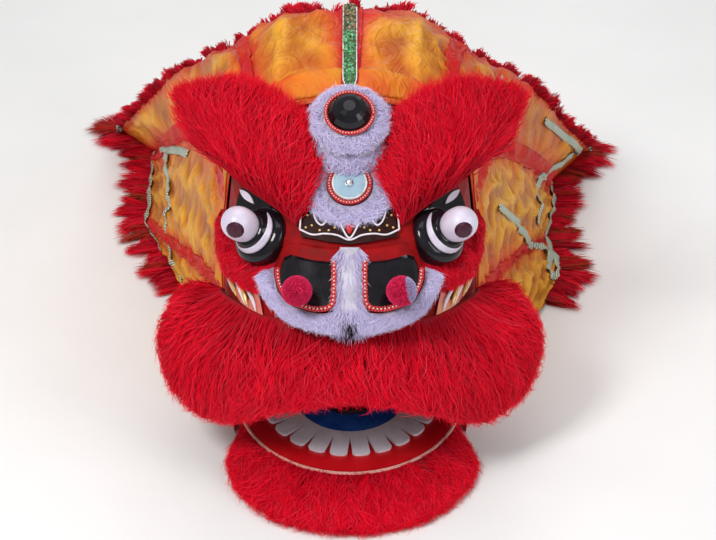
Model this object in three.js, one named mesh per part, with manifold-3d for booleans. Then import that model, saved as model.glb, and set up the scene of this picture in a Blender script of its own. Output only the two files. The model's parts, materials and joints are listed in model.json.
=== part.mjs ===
// A southern style lion dance head with its neck cape, in millimetres.
// +Z is up, the face looks along -Y and X is the width. The head stands on the floor with its mouth open:
// a hollow papier-mache shell, furs, eyes, horn and mirror on it, a hinged lower jaw, and a satin cape that
// leaves the head on an arch, passes over the crown and comes down to the floor behind.
import * as THREE from "three";
import { mergeVertices } from "three/addons/utils/BufferGeometryUtils.js";
import Module from "manifold-3d";

const wasm = await Module();
wasm.setup();

// Clearance between two pieces that touch
const SEAT_GAP = 0.5;

// Head shell
const HEAD_HEIGHT = 612;
const HEAD_HALF_LENGTH = 318;
const HEAD_HALF_WIDTH = 205;
const HEAD_WALL = 5;
const HEAD_ROUNDNESS = 2.3;
const HEAD_RING_POINTS = 24;
// Level sections of the head, as shares of its height, half length and half width
const HEAD_SECTIONS = [
  { height: 0, front: 0.99, back: 0.69, width: 1 },
  { height: 0.35, front: 0.99, back: 0.74, width: 1 },
  { height: 0.485, front: 1, back: 0.75, width: 1 },
  { height: 0.555, front: 0.943, back: 0.755, width: 0.98 },
  { height: 0.703, front: 0.824, back: 0.755, width: 0.93 },
  { height: 0.79, front: 0.585, back: 0.73, width: 0.82 },
  { height: 0.872, front: 0.33, back: 0.69, width: 0.69 },
  { height: 0.937, front: 0.063, back: 0.62, width: 0.52 },
  { height: 0.978, front: -0.19, back: 0.52, width: 0.33 },
  { height: 1, front: -0.33, back: 0.44, width: 0.14 },
];
const MOUTH_SIDE_STRIP = 12;
const MOUTH_HALF_WIDTH = HEAD_HALF_WIDTH - MOUTH_SIDE_STRIP;
const MOUTH_TOP = 0.3513 * HEAD_HEIGHT;

// Lower jaw, hinged on two pins through the cheeks
const HINGE_BACK_OF_LIP = 208;
const HINGE_HEIGHT = 52;
const HINGE_PIN_RADIUS = 5;
const HINGE_CLEARANCE = 0.6;
const JAW_DROOP_DEG = 4;
const JAW_RADIUS = 180;
const JAW_CENTRE_FORWARD = 20;
const JAW_REAR = 18;
const JAW_THICKNESS = 6;
const JAW_SIDE_CLEARANCE = 8;
const PIPING_RADIUS = 2.5;
const TEETH_COUNT = 12;
const TEETH_OUTER_RADIUS = 146;
const TEETH_INNER_RADIUS = 91;
const TEETH_THICKNESS = 5;
const TOOTH_NOTCH_ROOT = 104;
const TOOTH_NOTCH_WIDTH = 9;
const GUM_THICKNESS = 3;
const TONGUE_RADIUS = 34;
const TONGUE_THICKNESS = 7;

// Eyes
const EYE_SIDE = 0.6683 * HEAD_HALF_WIDTH;
const EYE_HEIGHT = 0.6879 * HEAD_HEIGHT;
const EYE_RADIUS = 46;
const EYE_DOME = 13;
const EYE_TIP_LENGTH = 92;
const EYE_RING_RADIUS = 36;
const EYE_RING_HEIGHT = 19;
const EYE_BALL_RADIUS = 26;
const EYE_BALL_HEIGHT = 50;
const EYE_PUPIL_RADIUS = 14;
const EYE_AXIS = new THREE.Vector3(0.58, -0.46, 0.67).normalize();

// Nose
const NOSE_HALF_WIDTH = 0.6049 * HEAD_HALF_WIDTH;
const NOSE_BOTTOM = 0.5556 * HEAD_HEIGHT;
const NOSE_TALL = 0.1503 * HEAD_HEIGHT;
const NOSE_TOP = NOSE_BOTTOM + NOSE_TALL;
const NOSE_AHEAD_OF_LIP = 20;
const NOSE_REACH = HEAD_HALF_LENGTH + NOSE_AHEAD_OF_LIP;
// Level sections of the nose, as shares of the way up, its reach and its half width
const NOSE_SECTIONS = [
  { rise: 0, reach: 0.95, width: 0.9 },
  { rise: 0.13, reach: 0.995, width: 0.985 },
  { rise: 0.33, reach: 1, width: 1 },
  { rise: 0.87, reach: 0.83, width: 0.94 },
  { rise: 1, reach: 0.79, width: 0.87 },
];
const NOSTRIL_INNER = 0.2177 * NOSE_HALF_WIDTH;
const NOSTRIL_OUTER = 0.8548 * NOSE_HALF_WIDTH;
const NOSTRIL_LOW = NOSE_BOTTOM + 0.337 * NOSE_TALL;
const NOSTRIL_HIGH = NOSE_BOTTOM + 0.8696 * NOSE_TALL;
const NOSTRIL_THICKNESS = 3;
const BEAD_BAND_RADIUS = 4;
const FLAME_INNER = 0.6537 * HEAD_HALF_WIDTH;
const FLAME_OUTER = 0.9756 * HEAD_HALF_WIDTH;
const FLAME_LOW = 0.5 * HEAD_HEIGHT;
const FLAME_HIGH = 0.5556 * HEAD_HEIGHT;
const FLAME_THICKNESS = 4;
const POMPOM_RADIUS = 23;
const POMPOM_SIDE = 0.629 * NOSE_HALF_WIDTH;
const POMPOM_HEIGHT = NOSE_BOTTOM + 0.7826 * NOSE_TALL;
const POMPOM_SINK = 12;
const POMPOM_POST_RADIUS = 2.5;

// Forehead plate, mirror and horn
const PLATE_HALF_WIDTH = 0.361 * HEAD_HALF_WIDTH;
const PLATE_LOW = 0.7157 * HEAD_HEIGHT;
const PLATE_HIGH = 0.7745 * HEAD_HEIGHT;
const PLATE_THICKNESS = 3;
const SCROLL_RADIUS = 2;
const MIRROR_HEIGHT = 0.8007 * HEAD_HEIGHT;
const MIRROR_TILT_DEG = 52;
const MIRROR_RADIUS = 25;
const MIRROR_RIM = 3;
const MIRROR_FUR_REACH = 65;
const HORN_SETBACK = 0.6792 * HEAD_HALF_LENGTH;
const HORN_TILT_DEG = 60;
const HORN_HEIGHT = 72;
const HORN_CORE_RADIUS = 46;
const HORN_TIP_RADIUS = 33;
const HORN_FUR_REACH = 70;
const CREST_WIDTH = 22;
const CREST_HEIGHT = 9;

// Cape
const CAPE_THICKNESS = 2;
const CAPE_CLEARANCE = 2.5;
const CAPE_SEAM_BITE = 2;
const CAPE_ROOT = -0.1258 * HEAD_HALF_LENGTH;
const CAPE_LENGTH = 900;
const CAPE_CORNER_WIDTH = 484;
const CAPE_PUFF = 18;
const RIB_THICKNESS = 2.5;
const BRAID_THICKNESS = 3;
const FRINGE_REACH = 78;
const FRINGE_THICKNESS = 12;
const FRINGE_BITE = 0.4;
// Hem of the cape on each side, by the share of the way down the arch, as shares of the corner's width and of
// the cape's length
const CAPE_HEM = [
  { arch: 0, leftSide: 0, leftBack: 1.03, rightSide: 0, rightBack: 1.03 },
  { arch: 0.12, leftSide: 0.33, leftBack: 1.06, rightSide: 0.33, rightBack: 1.05 },
  { arch: 0.24, leftSide: 0.68, leftBack: 1.03, rightSide: 0.66, rightBack: 0.98 },
  { arch: 0.34, leftSide: 1, leftBack: 1.01, rightSide: 1, rightBack: 0.92 },
  { arch: 0.44, leftSide: 0.82, leftBack: 0.9, rightSide: 0.81, rightBack: 0.765 },
  { arch: 0.57, leftSide: 0.81, leftBack: 0.74, rightSide: 0.8, rightBack: 0.66 },
  { arch: 0.7, leftSide: 0.81, leftBack: 0.62, rightSide: 0.76, rightBack: 0.555 },
  { arch: 0.85, leftSide: 0.68, leftBack: 0.44, rightSide: 0.8, rightBack: 0.43 },
  { arch: 1, leftSide: 0.55, leftBack: 0.28, rightSide: 0.72, rightBack: 0.28 },
];
const CAPE_RIBS = [0, 0.24, 0.44, 0.7];
// How the cape falls from the arch to the hem: shares of the side reach and of the arch's height
const CAPE_FALL = [
  { way: 0, reach: 0, back: 1, corner: 1, side: 1 },
  { way: 0.1, reach: 0.03, back: 1.08, corner: 1.04, side: 0.94 },
  { way: 0.2, reach: 0.07, back: 1.112, corner: 1.06, side: 0.86 },
  { way: 0.3, reach: 0.13, back: 1.0, corner: 1.03, side: 0.77 },
  { way: 0.4, reach: 0.22, back: 0.85, corner: 0.95, side: 0.67 },
  { way: 0.5, reach: 0.34, back: 0.68, corner: 0.82, side: 0.56 },
  { way: 0.6, reach: 0.48, back: 0.52, corner: 0.67, side: 0.45 },
  { way: 0.7, reach: 0.63, back: 0.37, corner: 0.5, side: 0.33 },
  { way: 0.8, reach: 0.78, back: 0.23, corner: 0.32, side: 0.22 },
  { way: 0.9, reach: 0.91, back: 0.11, corner: 0.15, side: 0.11 },
  { way: 1, reach: 1, back: 0.008, corner: 0.008, side: 0.008 },
];

const RED = "#c8102e";
const FURS = { color: RED, roughness: 0.9, metalness: 0 };
const WHITE_FUR = { color: "#e9e4f2", roughness: 0.95, metalness: 0 };
const RED_PAINT = { color: "#8e0a10", roughness: 0.3, metalness: 0 };
const BLACK_GLOSS = { color: "#0b0a0c", roughness: 0.12, metalness: 0 };
const WHITE_PAINT = { color: "#ddd6e6", roughness: 0.45, metalness: 0 };
const BEADS = { color: "#d0211c", roughness: 0.3, metalness: 0.1 };
const SILVER = { color: "#cfd6d8", roughness: 0.25, metalness: 0.9 };

// Solids and lofts

function solidOf(geometry) {
  const bare = geometry.index ? geometry.toNonIndexed() : geometry.clone();
  for (const name of Object.keys(bare.attributes)) {
    if (name !== "position") bare.deleteAttribute(name);
  }
  const merged = mergeVertices(bare, 1e-3);
  return new wasm.Manifold(
    new wasm.Mesh({
      numProp: 3,
      vertProperties: new Float32Array(merged.attributes.position.array),
      triVerts: new Uint32Array(merged.index.array),
    }),
  );
}

function geometryOf(solid) {
  const mesh = solid.getMesh();
  const points = new Float32Array(mesh.numVert * 3);
  for (let i = 0; i < mesh.numVert; i++) {
    points.set(mesh.vertProperties.subarray(i * mesh.numProp, i * mesh.numProp + 3), i * 3);
  }
  return new THREE.BufferGeometry()
    .setAttribute("position", new THREE.BufferAttribute(points, 3))
    .setIndex(new THREE.BufferAttribute(new Uint32Array(mesh.triVerts), 1));
}

// Skins equal rings of points. Rings have an even count, so a strip across each end ring closes it. The two
// halves of a ring split their quads the same way, so sheets laid on each other meet face to face.
function loft(rings, closed = false) {
  const count = rings[0].length;
  const points = [];
  rings.forEach((ring) => ring.forEach((p) => points.push(p.x, p.y, p.z)));
  const faces = [];
  const last = closed ? rings.length : rings.length - 1;
  for (let i = 0; i < last; i++) {
    const a = i * count;
    const b = ((i + 1) % rings.length) * count;
    for (let j = 0; j < count; j++) {
      const k = (j + 1) % count;
      if (j < count / 2) faces.push(a + j, b + j, b + k, a + j, b + k, a + k);
      else faces.push(a + j, b + j, a + k, b + j, b + k, a + k);
    }
  }
  if (!closed) {
    const end = (rings.length - 1) * count;
    for (let j = 0; j < count / 2 - 1; j++) {
      const m = count - 1 - j;
      faces.push(j, j + 1, m, j + 1, m - 1, m);
      faces.push(end + j, end + m, end + j + 1, end + j + 1, end + m, end + m - 1);
    }
  }
  const signed = volumeOf(points, faces);
  if (signed < 0) {
    for (let i = 0; i < faces.length; i += 3) [faces[i + 1], faces[i + 2]] = [faces[i + 2], faces[i + 1]];
  }
  const geometry = new THREE.BufferGeometry()
    .setAttribute("position", new THREE.Float32BufferAttribute(points, 3))
    .setIndex(faces);
  return solidOf(geometry);
}

function volumeOf(points, faces) {
  const a = new THREE.Vector3();
  const b = new THREE.Vector3();
  const c = new THREE.Vector3();
  let total = 0;
  for (let i = 0; i < faces.length; i += 3) {
    a.fromArray(points, faces[i] * 3);
    b.fromArray(points, faces[i + 1] * 3);
    c.fromArray(points, faces[i + 2] * 3);
    total += a.dot(b.cross(c));
  }
  return total;
}

function lathe(profile, segments) {
  const points = profile.map(([radius, height]) => new THREE.Vector2(radius, height));
  const geometry = new THREE.LatheGeometry(points, segments);
  geometry.rotateX(Math.PI / 2);
  const solid = solidOf(geometry);
  return solid.volume() < 0 ? solidOf(turnedInsideOut(geometry)) : solid;
}

function turnedInsideOut(geometry) {
  const turned = geometry.index ? geometry.toNonIndexed() : geometry.clone();
  const p = turned.attributes.position;
  for (let i = 0; i < p.count; i += 3) {
    const b = new THREE.Vector3().fromBufferAttribute(p, i + 1);
    const c = new THREE.Vector3().fromBufferAttribute(p, i + 2);
    p.setXYZ(i + 1, c.x, c.y, c.z);
    p.setXYZ(i + 2, b.x, b.y, b.z);
  }
  return turned;
}

// A solid made in a frame whose +Z is the axis, moved to its place. tip is where the frame's +X leans.
function placed(solid, origin, axis, tip = new THREE.Vector3(1, 0, 0)) {
  const z = axis.clone().normalize();
  const x = tip.clone().sub(z.clone().multiplyScalar(tip.dot(z))).normalize();
  const y = z.clone().cross(x);
  const matrix = new THREE.Matrix4().makeBasis(x, y, z).setPosition(origin);
  return solid.transform(matrix.elements);
}

function box(low, high) {
  const size = high.map((v, i) => v - low[i]);
  const geometry = new THREE.BoxGeometry(...size);
  geometry.translate(...low.map((v, i) => v + size[i] / 2));
  return solidOf(geometry);
}

function tube(points, radius, sides, steps, closed = false) {
  const path = new THREE.CatmullRomCurve3(points, closed, "centripetal");
  const frames = path.computeFrenetFrames(steps, closed);
  const rings = [];
  for (let i = 0; i < (closed ? steps : steps + 1); i++) {
    const centre = path.getPointAt(i / steps);
    rings.push(
      Array.from({ length: sides }, (_, j) => {
        const turn = (2 * Math.PI * j) / sides;
        return centre
          .clone()
          .addScaledVector(frames.normals[i], radius * Math.cos(turn))
          .addScaledVector(frames.binormals[i], radius * Math.sin(turn));
      }),
    );
  }
  return loft(rings, closed);
}

// The value of a column at a place in a table, joined by straight lines
function lookup(table, key, at, column) {
  const last = table.length - 1;
  if (at <= table[0][key]) return table[0][column];
  for (let i = 0; i < last; i++) {
    const from = table[i];
    const to = table[i + 1];
    if (at <= to[key]) {
      const share = (at - from[key]) / (to[key] - from[key]);
      return from[column] + (to[column] - from[column]) * share;
    }
  }
  return table[last][column];
}

const powerOf = (value, power) => Math.sign(value) * Math.abs(value) ** power;
const mix = (a, b, share) => a + (b - a) * share;
const V = (x, y, z) => new THREE.Vector3(x, y, z);
// A point given as shares of the head's half width, half length and height
const H = (x, y, z) => V(x * HEAD_HALF_WIDTH, y * HEAD_HALF_LENGTH, z * HEAD_HEIGHT);

// Head shell

function headSizes(z) {
  const height = z / HEAD_HEIGHT;
  const front = HEAD_HALF_LENGTH * lookup(HEAD_SECTIONS, "height", height, "front");
  const back = HEAD_HALF_LENGTH * lookup(HEAD_SECTIONS, "height", height, "back");
  const width = HEAD_HALF_WIDTH * lookup(HEAD_SECTIONS, "height", height, "width");
  return { middle: (back - front) / 2, length: (back + front) / 2, width };
}

function headRing(z, grow, drop = 0) {
  const { middle, length, width } = headSizes(z);
  return Array.from({ length: HEAD_RING_POINTS }, (_, i) => {
    const turn = (2 * Math.PI * (i + 0.5)) / HEAD_RING_POINTS;
    const x = (width + grow) * powerOf(Math.cos(turn), 2 / HEAD_ROUNDNESS);
    const y = middle + (length + grow) * powerOf(Math.sin(turn), 2 / HEAD_ROUNDNESS);
    return V(x, y, z + drop);
  });
}

function inHead(x, y, z) {
  const { middle, length, width } = headSizes(z);
  return Math.abs(x / width) ** HEAD_ROUNDNESS + Math.abs((y - middle) / length) ** HEAD_ROUNDNESS <= 1;
}

// Height of the shell's outside above a point of the floor, or 0 beside it
function headTopAt(x, y) {
  if (!inHead(x, y, 0)) return 0;
  let low = 0;
  let high = HEAD_HEIGHT;
  if (inHead(x, y, high)) return high;
  for (let i = 0; i < 24; i++) {
    const z = (low + high) / 2;
    if (inHead(x, y, z)) low = z;
    else high = z;
  }
  return low;
}

// The front of the shell at a side and a height
function headFrontAt(x, z) {
  const { middle, length, width } = headSizes(z);
  return middle - length * Math.max(0, 1 - Math.abs(x / width) ** HEAD_ROUNDNESS) ** (1 / HEAD_ROUNDNESS);
}

const headHeights = HEAD_SECTIONS.map((section) => section.height * HEAD_HEIGHT);

// The shell's outer form as a filled solid, grown sideways and upwards
function headEnvelope(grow) {
  const rings = headHeights.map((z) => headRing(z, grow, z === 0 ? -grow : grow * 0.6));
  return loft(rings);
}

const lipY = -HEAD_HALF_LENGTH;
const hingeY = lipY + HINGE_BACK_OF_LIP;

function headShell() {
  const inside = headHeights.map((z) => headRing(z, -HEAD_WALL, z === 0 ? 0 : -HEAD_WALL));
  const outside = headHeights.map((z) => headRing(z, 0));
  const shell = loft([...inside.reverse(), ...outside]);
  const mouth = box(
    [-MOUTH_HALF_WIDTH, 3 * lipY, -HEAD_WALL],
    [MOUTH_HALF_WIDTH, hingeY + 6 * HINGE_PIN_RADIUS, MOUTH_TOP],
  );
  const pinHole = placed(
    solidOf(
      new THREE.CylinderGeometry(
        HINGE_PIN_RADIUS + HINGE_CLEARANCE,
        HINGE_PIN_RADIUS + HINGE_CLEARANCE,
        3 * HEAD_HALF_WIDTH,
        24,
      ).rotateX(Math.PI / 2),
    ),
    V(0, hingeY, HINGE_HEIGHT),
    V(1, 0, 0),
    V(0, 1, 0),
  );
  return shell.subtract(mouth).subtract(pinHole);
}

// Furs: locks fused side by side on one backing.
// root and tip are lines of points, out is the way the fur stands up, and depth and under are how far it
// stands over and under the straight line from root to tip.
function fur({ root, tip, out, depth, under = 4, locks, bite = 0.2, columns = 3, closed = false, grow = 0 }) {
  const rootLine = new THREE.CatmullRomCurve3(root, closed, "centripetal");
  const tipLine = new THREE.CatmullRomCurve3(tip, closed, "centripetal");
  const outLine = new THREE.CatmullRomCurve3(out, closed, "centripetal");
  const total = locks * columns;
  const rings = [];
  for (let i = 0; i < (closed ? total : total + 1); i++) {
    const share = i / total;
    const from = rootLine.getPoint(share);
    const to = tipLine.getPoint(share);
    const stand = outLine.getPoint(share).normalize();
    const place = share * (depth.length - 1);
    const index = Math.min(Math.floor(place), depth.length - 2);
    const height = mix(depth[index], depth[index + 1], place - index);
    const lock = Math.abs(Math.sin(Math.PI * share * locks));
    const reach = mix(1 - bite, 1, lock);
    const rise = height * mix(1 - 0.8 * bite, 1, lock) + grow;
    const way = to.clone().sub(from).multiplyScalar(reach);
    const ahead = way.clone().normalize();
    from.addScaledVector(ahead, -grow);
    way.addScaledVector(ahead, 2 * grow);
    const over = FUR_SECTION.map(({ along, over: o }) =>
      from.clone().addScaledVector(way, along).addScaledVector(stand, rise * o),
    );
    const below = [...FUR_SECTION]
      .reverse()
      .map(({ along, over: o }) =>
        from
          .clone()
          .addScaledVector(way, along)
          .addScaledVector(stand, -(under + grow) * o - 0.4),
      );
    rings.push([...over, ...below]);
  }
  if (closed) rings.push(rings[0]);
  // Joined slice by slice, because on a tight bend the slices cross
  return wasm.Manifold.union(rings.slice(1).map((ring, i) => loft([rings[i], ring])));
}

// Section of a lock from its root to its tip
const FUR_SECTION = [
  { along: 0, over: 0.3 },
  { along: 0.28, over: 1 },
  { along: 0.72, over: 0.74 },
  { along: 1, over: 0.06 },
];

const mirrorX = (points, side) => points.map((p) => V(p.x * side, p.y, p.z));

function browFur(side, grow = 0) {
  return fur({
    root: mirrorX(
      [
        H(0.3902, -0.6981, 0.732),
        H(0.5463, -0.6289, 0.7614),
        H(0.7707, -0.5031, 0.781),
        H(0.9366, -0.3145, 0.7843),
      ],
      side,
    ),
    tip: mirrorX(
      [
        H(0.1756, -0.4088, 0.866),
        H(0.4878, -0.3019, 0.9739),
        H(0.878, -0.2075, 1),
        H(1.2976, -0.1572, 0.9608),
      ],
      side,
    ),
    out: mirrorX([V(0.2, -0.8, 0.5), V(0.35, -0.8, 0.5), V(0.5, -0.7, 0.5), V(0.7, -0.6, 0.4)], side),
    depth: [30, 52, 58, 40],
    under: 24,
    locks: 8,
    bite: 0.24,
    columns: 2,
    grow,
  });
}

function cheekFur(side, grow = 0) {
  return fur({
    root: mirrorX(
      [
        H(0.4878, -0.7862, 0.6454),
        H(0.7073, -0.6761, 0.6291),
        H(0.8878, -0.5189, 0.6291),
        H(0.9902, -0.2987, 0.6536),
      ],
      side,
    ),
    tip: mirrorX(
      [
        H(0.5756, -0.8553, 0.5523),
        H(0.8049, -0.7421, 0.5261),
        H(0.9756, -0.5346, 0.5163),
        H(1.0439, -0.2987, 0.5261),
      ],
      side,
    ),
    out: mirrorX([V(0.5, -0.9, 0.1), V(0.65, -0.75, 0.1), V(0.85, -0.5, 0.1), V(1, -0.2, 0.1)], side),
    depth: [10, 14, 14, 8],
    under: 24,
    locks: 7,
    bite: 0.14,
    columns: 2,
    grow,
  });
}

function moustache(grow = 0) {
  const root = [
    H(0.9951, -0.3145, 0.4085),
    H(0.9902, -0.4717, 0.4575),
    H(0.8976, -0.6132, 0.4837),
    H(0.7317, -0.7484, 0.4967),
    H(0.3902, -0.9182, 0.5196),
    H(0, -0.9686, 0.5327),
  ];
  const tip = [
    H(1.3805, -0.3522, 0.4216),
    H(1.5415, -0.5409, 0.3039),
    H(1.3951, -0.673, 0.1765),
    H(1.0537, -0.7925, 0.1373),
    H(0.5268, -1.0126, 0.2386),
    H(0, -1.0881, 0.2941),
  ];
  const out = [
    V(0.6, 0.05, 0.8),
    V(0.85, -0.3, 0.5),
    V(0.75, -0.6, 0.4),
    V(0.55, -0.8, 0.3),
    V(0.3, -0.95, 0.15),
    V(0, -1, 0.1),
  ];
  const whole = (line) => [...line, ...mirrorX(line.slice(0, -1), -1).reverse()];
  return fur({
    root: whole(root),
    tip: whole(tip),
    out: whole(out),
    depth: [18, 44, 56, 56, 48, 40, 48, 56, 56, 44, 18],
    under: 12,
    locks: 17,
    bite: 0.16,
    columns: 2,
    grow,
  });
}

function beard() {
  const rim = JAW_RADIUS - 12;
  const centreY = hingeY - JAW_CENTRE_FORWARD;
  const slope = Math.tan(THREE.MathUtils.degToRad(JAW_DROOP_DEG));
  const at = (degrees, radius, z) => {
    const turn = THREE.MathUtils.degToRad(degrees);
    return V(radius * Math.sin(turn), centreY - radius * Math.cos(turn), z);
  };
  // A point under the plate's rim
  const under = (degrees) => {
    const point = at(degrees, rim, 0);
    point.z = HINGE_HEIGHT - slope * (hingeY - point.y) - JAW_THICKNESS / 2 - 3;
    return point;
  };
  const reach = [184, 240, 288, 302, 290, 250, 184];
  const turns = [-78, -56, -28, 0, 28, 56, 78];
  const whole = fur({
    root: turns.map(under),
    tip: turns.map((degrees, i) => at(degrees, reach[i], 5)),
    out: turns.map(() => V(0, 0, 1)),
    depth: [9, 15, 16, 16, 16, 15, 9],
    under: 4,
    locks: 14,
    bite: 0.2,
    columns: 2,
  });
  const rimRoom = arcOutline(JAW_RADIUS + 2 * PIPING_RADIUS + 3 * SEAT_GAP, JAW_REAR);
  return carved(whole, lowered(slab(rimRoom, JAW_THICKNESS + 14, -JAW_THICKNESS / 2 - SEAT_GAP)));
}

function flameRoom(side) {
  const room = new THREE.Shape();
  room.moveTo(side * (FLAME_INNER - 1), FLAME_LOW - 1);
  room.lineTo(side * (FLAME_OUTER + 1), FLAME_LOW - 1);
  room.lineTo(side * (FLAME_OUTER + 1), FLAME_HIGH + 1);
  room.lineTo(side * (FLAME_INNER - 1), FLAME_HIGH + 1);
  room.closePath();
  return room;
}

// Painted flames on the cheeks, three tongues on one plate
function cheekFlame(side) {
  const at = ([out, up]) => [side * mix(FLAME_INNER, FLAME_OUTER, out), mix(FLAME_LOW, FLAME_HIGH, up)];
  const outline = new THREE.Shape();
  outline.moveTo(...at([0, 0.2]));
  outline.quadraticCurveTo(...at([0.05, 0.7]), ...at([0.12, 1]));
  outline.quadraticCurveTo(...at([0.3, 0.7]), ...at([0.36, 0.3]));
  outline.quadraticCurveTo(...at([0.46, 0.7]), ...at([0.56, 0.95]));
  outline.quadraticCurveTo(...at([0.68, 0.6]), ...at([0.7, 0.25]));
  outline.quadraticCurveTo(...at([0.84, 0.5]), ...at([1, 0.85]));
  outline.quadraticCurveTo(...at([1, 0.2]), ...at([0.72, 0]));
  outline.lineTo(...at([0.1, 0]));
  outline.closePath();
  return frontLayer(headEnvelope, SEAT_GAP, SEAT_GAP + FLAME_THICKNESS, outline);
}

// Eyes

function eyePlace(side) {
  const z = EYE_HEIGHT;
  const origin = V(side * EYE_SIDE, headFrontAt(EYE_SIDE, z), z);
  const axis = V(side * EYE_AXIS.x, EYE_AXIS.y, EYE_AXIS.z);
  return { origin, axis, tip: V(side * 0.62, 0.35, 0.7) };
}

function eyeForm(side, grow = 0) {
  const { origin, axis, tip } = eyePlace(side);
  const sunk = 60;
  const dome = lathe(
    [
      [0, -sunk],
      [EYE_RADIUS + grow, -sunk],
      [EYE_RADIUS + grow, 3 + grow],
      [EYE_RADIUS - 4 + grow, 8 + grow],
      [EYE_RING_RADIUS + grow, EYE_DOME + grow],
      [0, EYE_DOME + grow],
    ],
    22,
  );
  const outline = new THREE.Shape();
  const corner = 0.86 * EYE_RADIUS + grow;
  outline.moveTo(0, -corner);
  outline.quadraticCurveTo(EYE_TIP_LENGTH * 0.72, -corner, EYE_TIP_LENGTH + grow, 0);
  outline.quadraticCurveTo(EYE_TIP_LENGTH * 0.6, corner * 0.9, 0, corner);
  outline.closePath();
  const corners = new THREE.ExtrudeGeometry(outline, {
    depth: sunk + 9 + grow,
    bevelEnabled: false,
    curveSegments: 8,
  }).translate(0, 0, -sunk);
  return placed(dome.add(solidOf(corners)), origin, axis, tip);
}

function eyeRing(side) {
  const { origin, axis, tip } = eyePlace(side);
  const low = EYE_DOME + SEAT_GAP;
  const top = low + EYE_RING_HEIGHT;
  const ring = lathe(
    [
      [0, low],
      [EYE_RING_RADIUS - 1, low],
      [EYE_RING_RADIUS - 0.5, low + 3],
      [EYE_BALL_RADIUS + 2.5, top - 2],
      [EYE_BALL_RADIUS + 1, top],
      [0, top],
    ],
    22,
  );
  return placed(ring, origin, axis, tip);
}

function eyeBall(side) {
  const { origin, axis, tip } = eyePlace(side);
  const low = EYE_DOME + EYE_RING_HEIGHT + 2 * SEAT_GAP;
  const profile = [
    [0, low],
    [0.84 * EYE_BALL_RADIUS, low],
    [0.97 * EYE_BALL_RADIUS, low + 0.22 * EYE_BALL_HEIGHT],
    [EYE_BALL_RADIUS, low + 0.42 * EYE_BALL_HEIGHT],
    [0.93 * EYE_BALL_RADIUS, low + 0.64 * EYE_BALL_HEIGHT],
    [0.72 * EYE_BALL_RADIUS, low + 0.84 * EYE_BALL_HEIGHT],
    [0.38 * EYE_BALL_RADIUS, low + 0.96 * EYE_BALL_HEIGHT],
    [0, low + EYE_BALL_HEIGHT],
  ];
  return placed(lathe(profile, 18), origin, axis, tip).subtract(pupilPlug(side, SEAT_GAP));
}

// The pupil is let into the eyeball on the side that looks ahead and down
function pupilPlug(side, grow = 0) {
  const { origin, axis } = eyePlace(side);
  const look = V(side * 0.12, -0.98, 0.02).normalize();
  const centre = origin
    .clone()
    .addScaledVector(axis, EYE_DOME + EYE_RING_HEIGHT + 0.5 * EYE_BALL_HEIGHT)
    .addScaledVector(look, 0.62 * EYE_BALL_RADIUS);
  const plug = lathe(
    [
      [0, -grow],
      [EYE_PUPIL_RADIUS + grow, -grow],
      [EYE_PUPIL_RADIUS + grow, 6],
      [0.8 * EYE_PUPIL_RADIUS, 10],
      [0, 12],
    ],
    14,
  );
  return placed(plug, centre, look, V(1, 0, 0));
}

// White leaf painted over the eye's outer corner
function eyeLid(side) {
  const { origin, axis, tip } = eyePlace(side);
  const from = 0.52 * EYE_TIP_LENGTH;
  const length = 0.44 * EYE_TIP_LENGTH;
  const leaf = new THREE.Shape();
  leaf.moveTo(from, 14);
  leaf.quadraticCurveTo(from + 0.55 * length, -4, from + length, 0);
  leaf.quadraticCurveTo(from + 0.6 * length, 17, from, 14);
  const solid = solidOf(
    new THREE.ExtrudeGeometry(leaf, { depth: 3, bevelEnabled: false, curveSegments: 8 }).translate(
      0,
      0,
      9 + SEAT_GAP,
    ),
  );
  const turned = side > 0 ? solid : solid.transform(new THREE.Matrix4().makeScale(1, -1, 1).elements);
  return placed(turned, origin, axis, tip);
}

// Nose

function noseForm(grow) {
  const rings = NOSE_SECTIONS.map(({ rise, reach, width }, i) => {
    const z = mix(NOSE_BOTTOM, NOSE_TOP, rise) + (i === 0 ? -grow : grow);
    const depth = NOSE_REACH * reach + grow;
    return Array.from({ length: 28 }, (_, j) => {
      const turn = (2 * Math.PI * (j + 0.5)) / 28;
      const x = (NOSE_HALF_WIDTH * width + grow) * powerOf(Math.cos(turn), 2 / 3);
      return V(x, depth * 0.5 * (powerOf(Math.sin(turn), 2 / 3) - 1), z);
    });
  });
  return loft(rings);
}

// A layer that lies on a form, cut to an outline in the front view
function frontLayer(form, from, to, outline) {
  const cutter = new THREE.ExtrudeGeometry(outline, {
    depth: 3 * HEAD_HALF_LENGTH,
    bevelEnabled: false,
    curveSegments: 4,
  }).rotateX(Math.PI / 2);
  return form(to).intersect(solidOf(cutter)).subtract(form(from));
}

function nostrilOutline(side, grow = 0) {
  const inner = NOSTRIL_INNER - grow;
  const outer = NOSTRIL_OUTER + grow;
  const low = NOSTRIL_LOW - grow;
  const high = NOSTRIL_HIGH + grow;
  const corner = 14;
  const outline = new THREE.Shape();
  outline.moveTo(side * inner, high);
  outline.lineTo(side * inner, low + corner);
  outline.quadraticCurveTo(side * inner, low, side * (inner + corner), low);
  outline.lineTo(side * (outer - corner), low);
  outline.quadraticCurveTo(side * outer, low, side * outer, low + corner);
  outline.quadraticCurveTo(side * outer, high, side * (outer - 2 * corner), high);
  outline.closePath();
  return outline;
}

// A line of points in the front view, laid on the nose at a lift
function onNose(points, lift) {
  return points.map(([x, z]) => {
    const rise = (z - NOSE_BOTTOM) / (NOSE_TOP - NOSE_BOTTOM);
    const reach = NOSE_REACH * lookup(NOSE_SECTIONS, "rise", rise, "reach");
    const width = NOSE_HALF_WIDTH * lookup(NOSE_SECTIONS, "rise", rise, "width");
    const y = -reach * 0.5 * (1 + Math.max(0, 1 - Math.abs(x / width) ** 3) ** (1 / 3));
    return V(x, y - 0.62 * lift, z + 0.78 * lift);
  });
}

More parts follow.
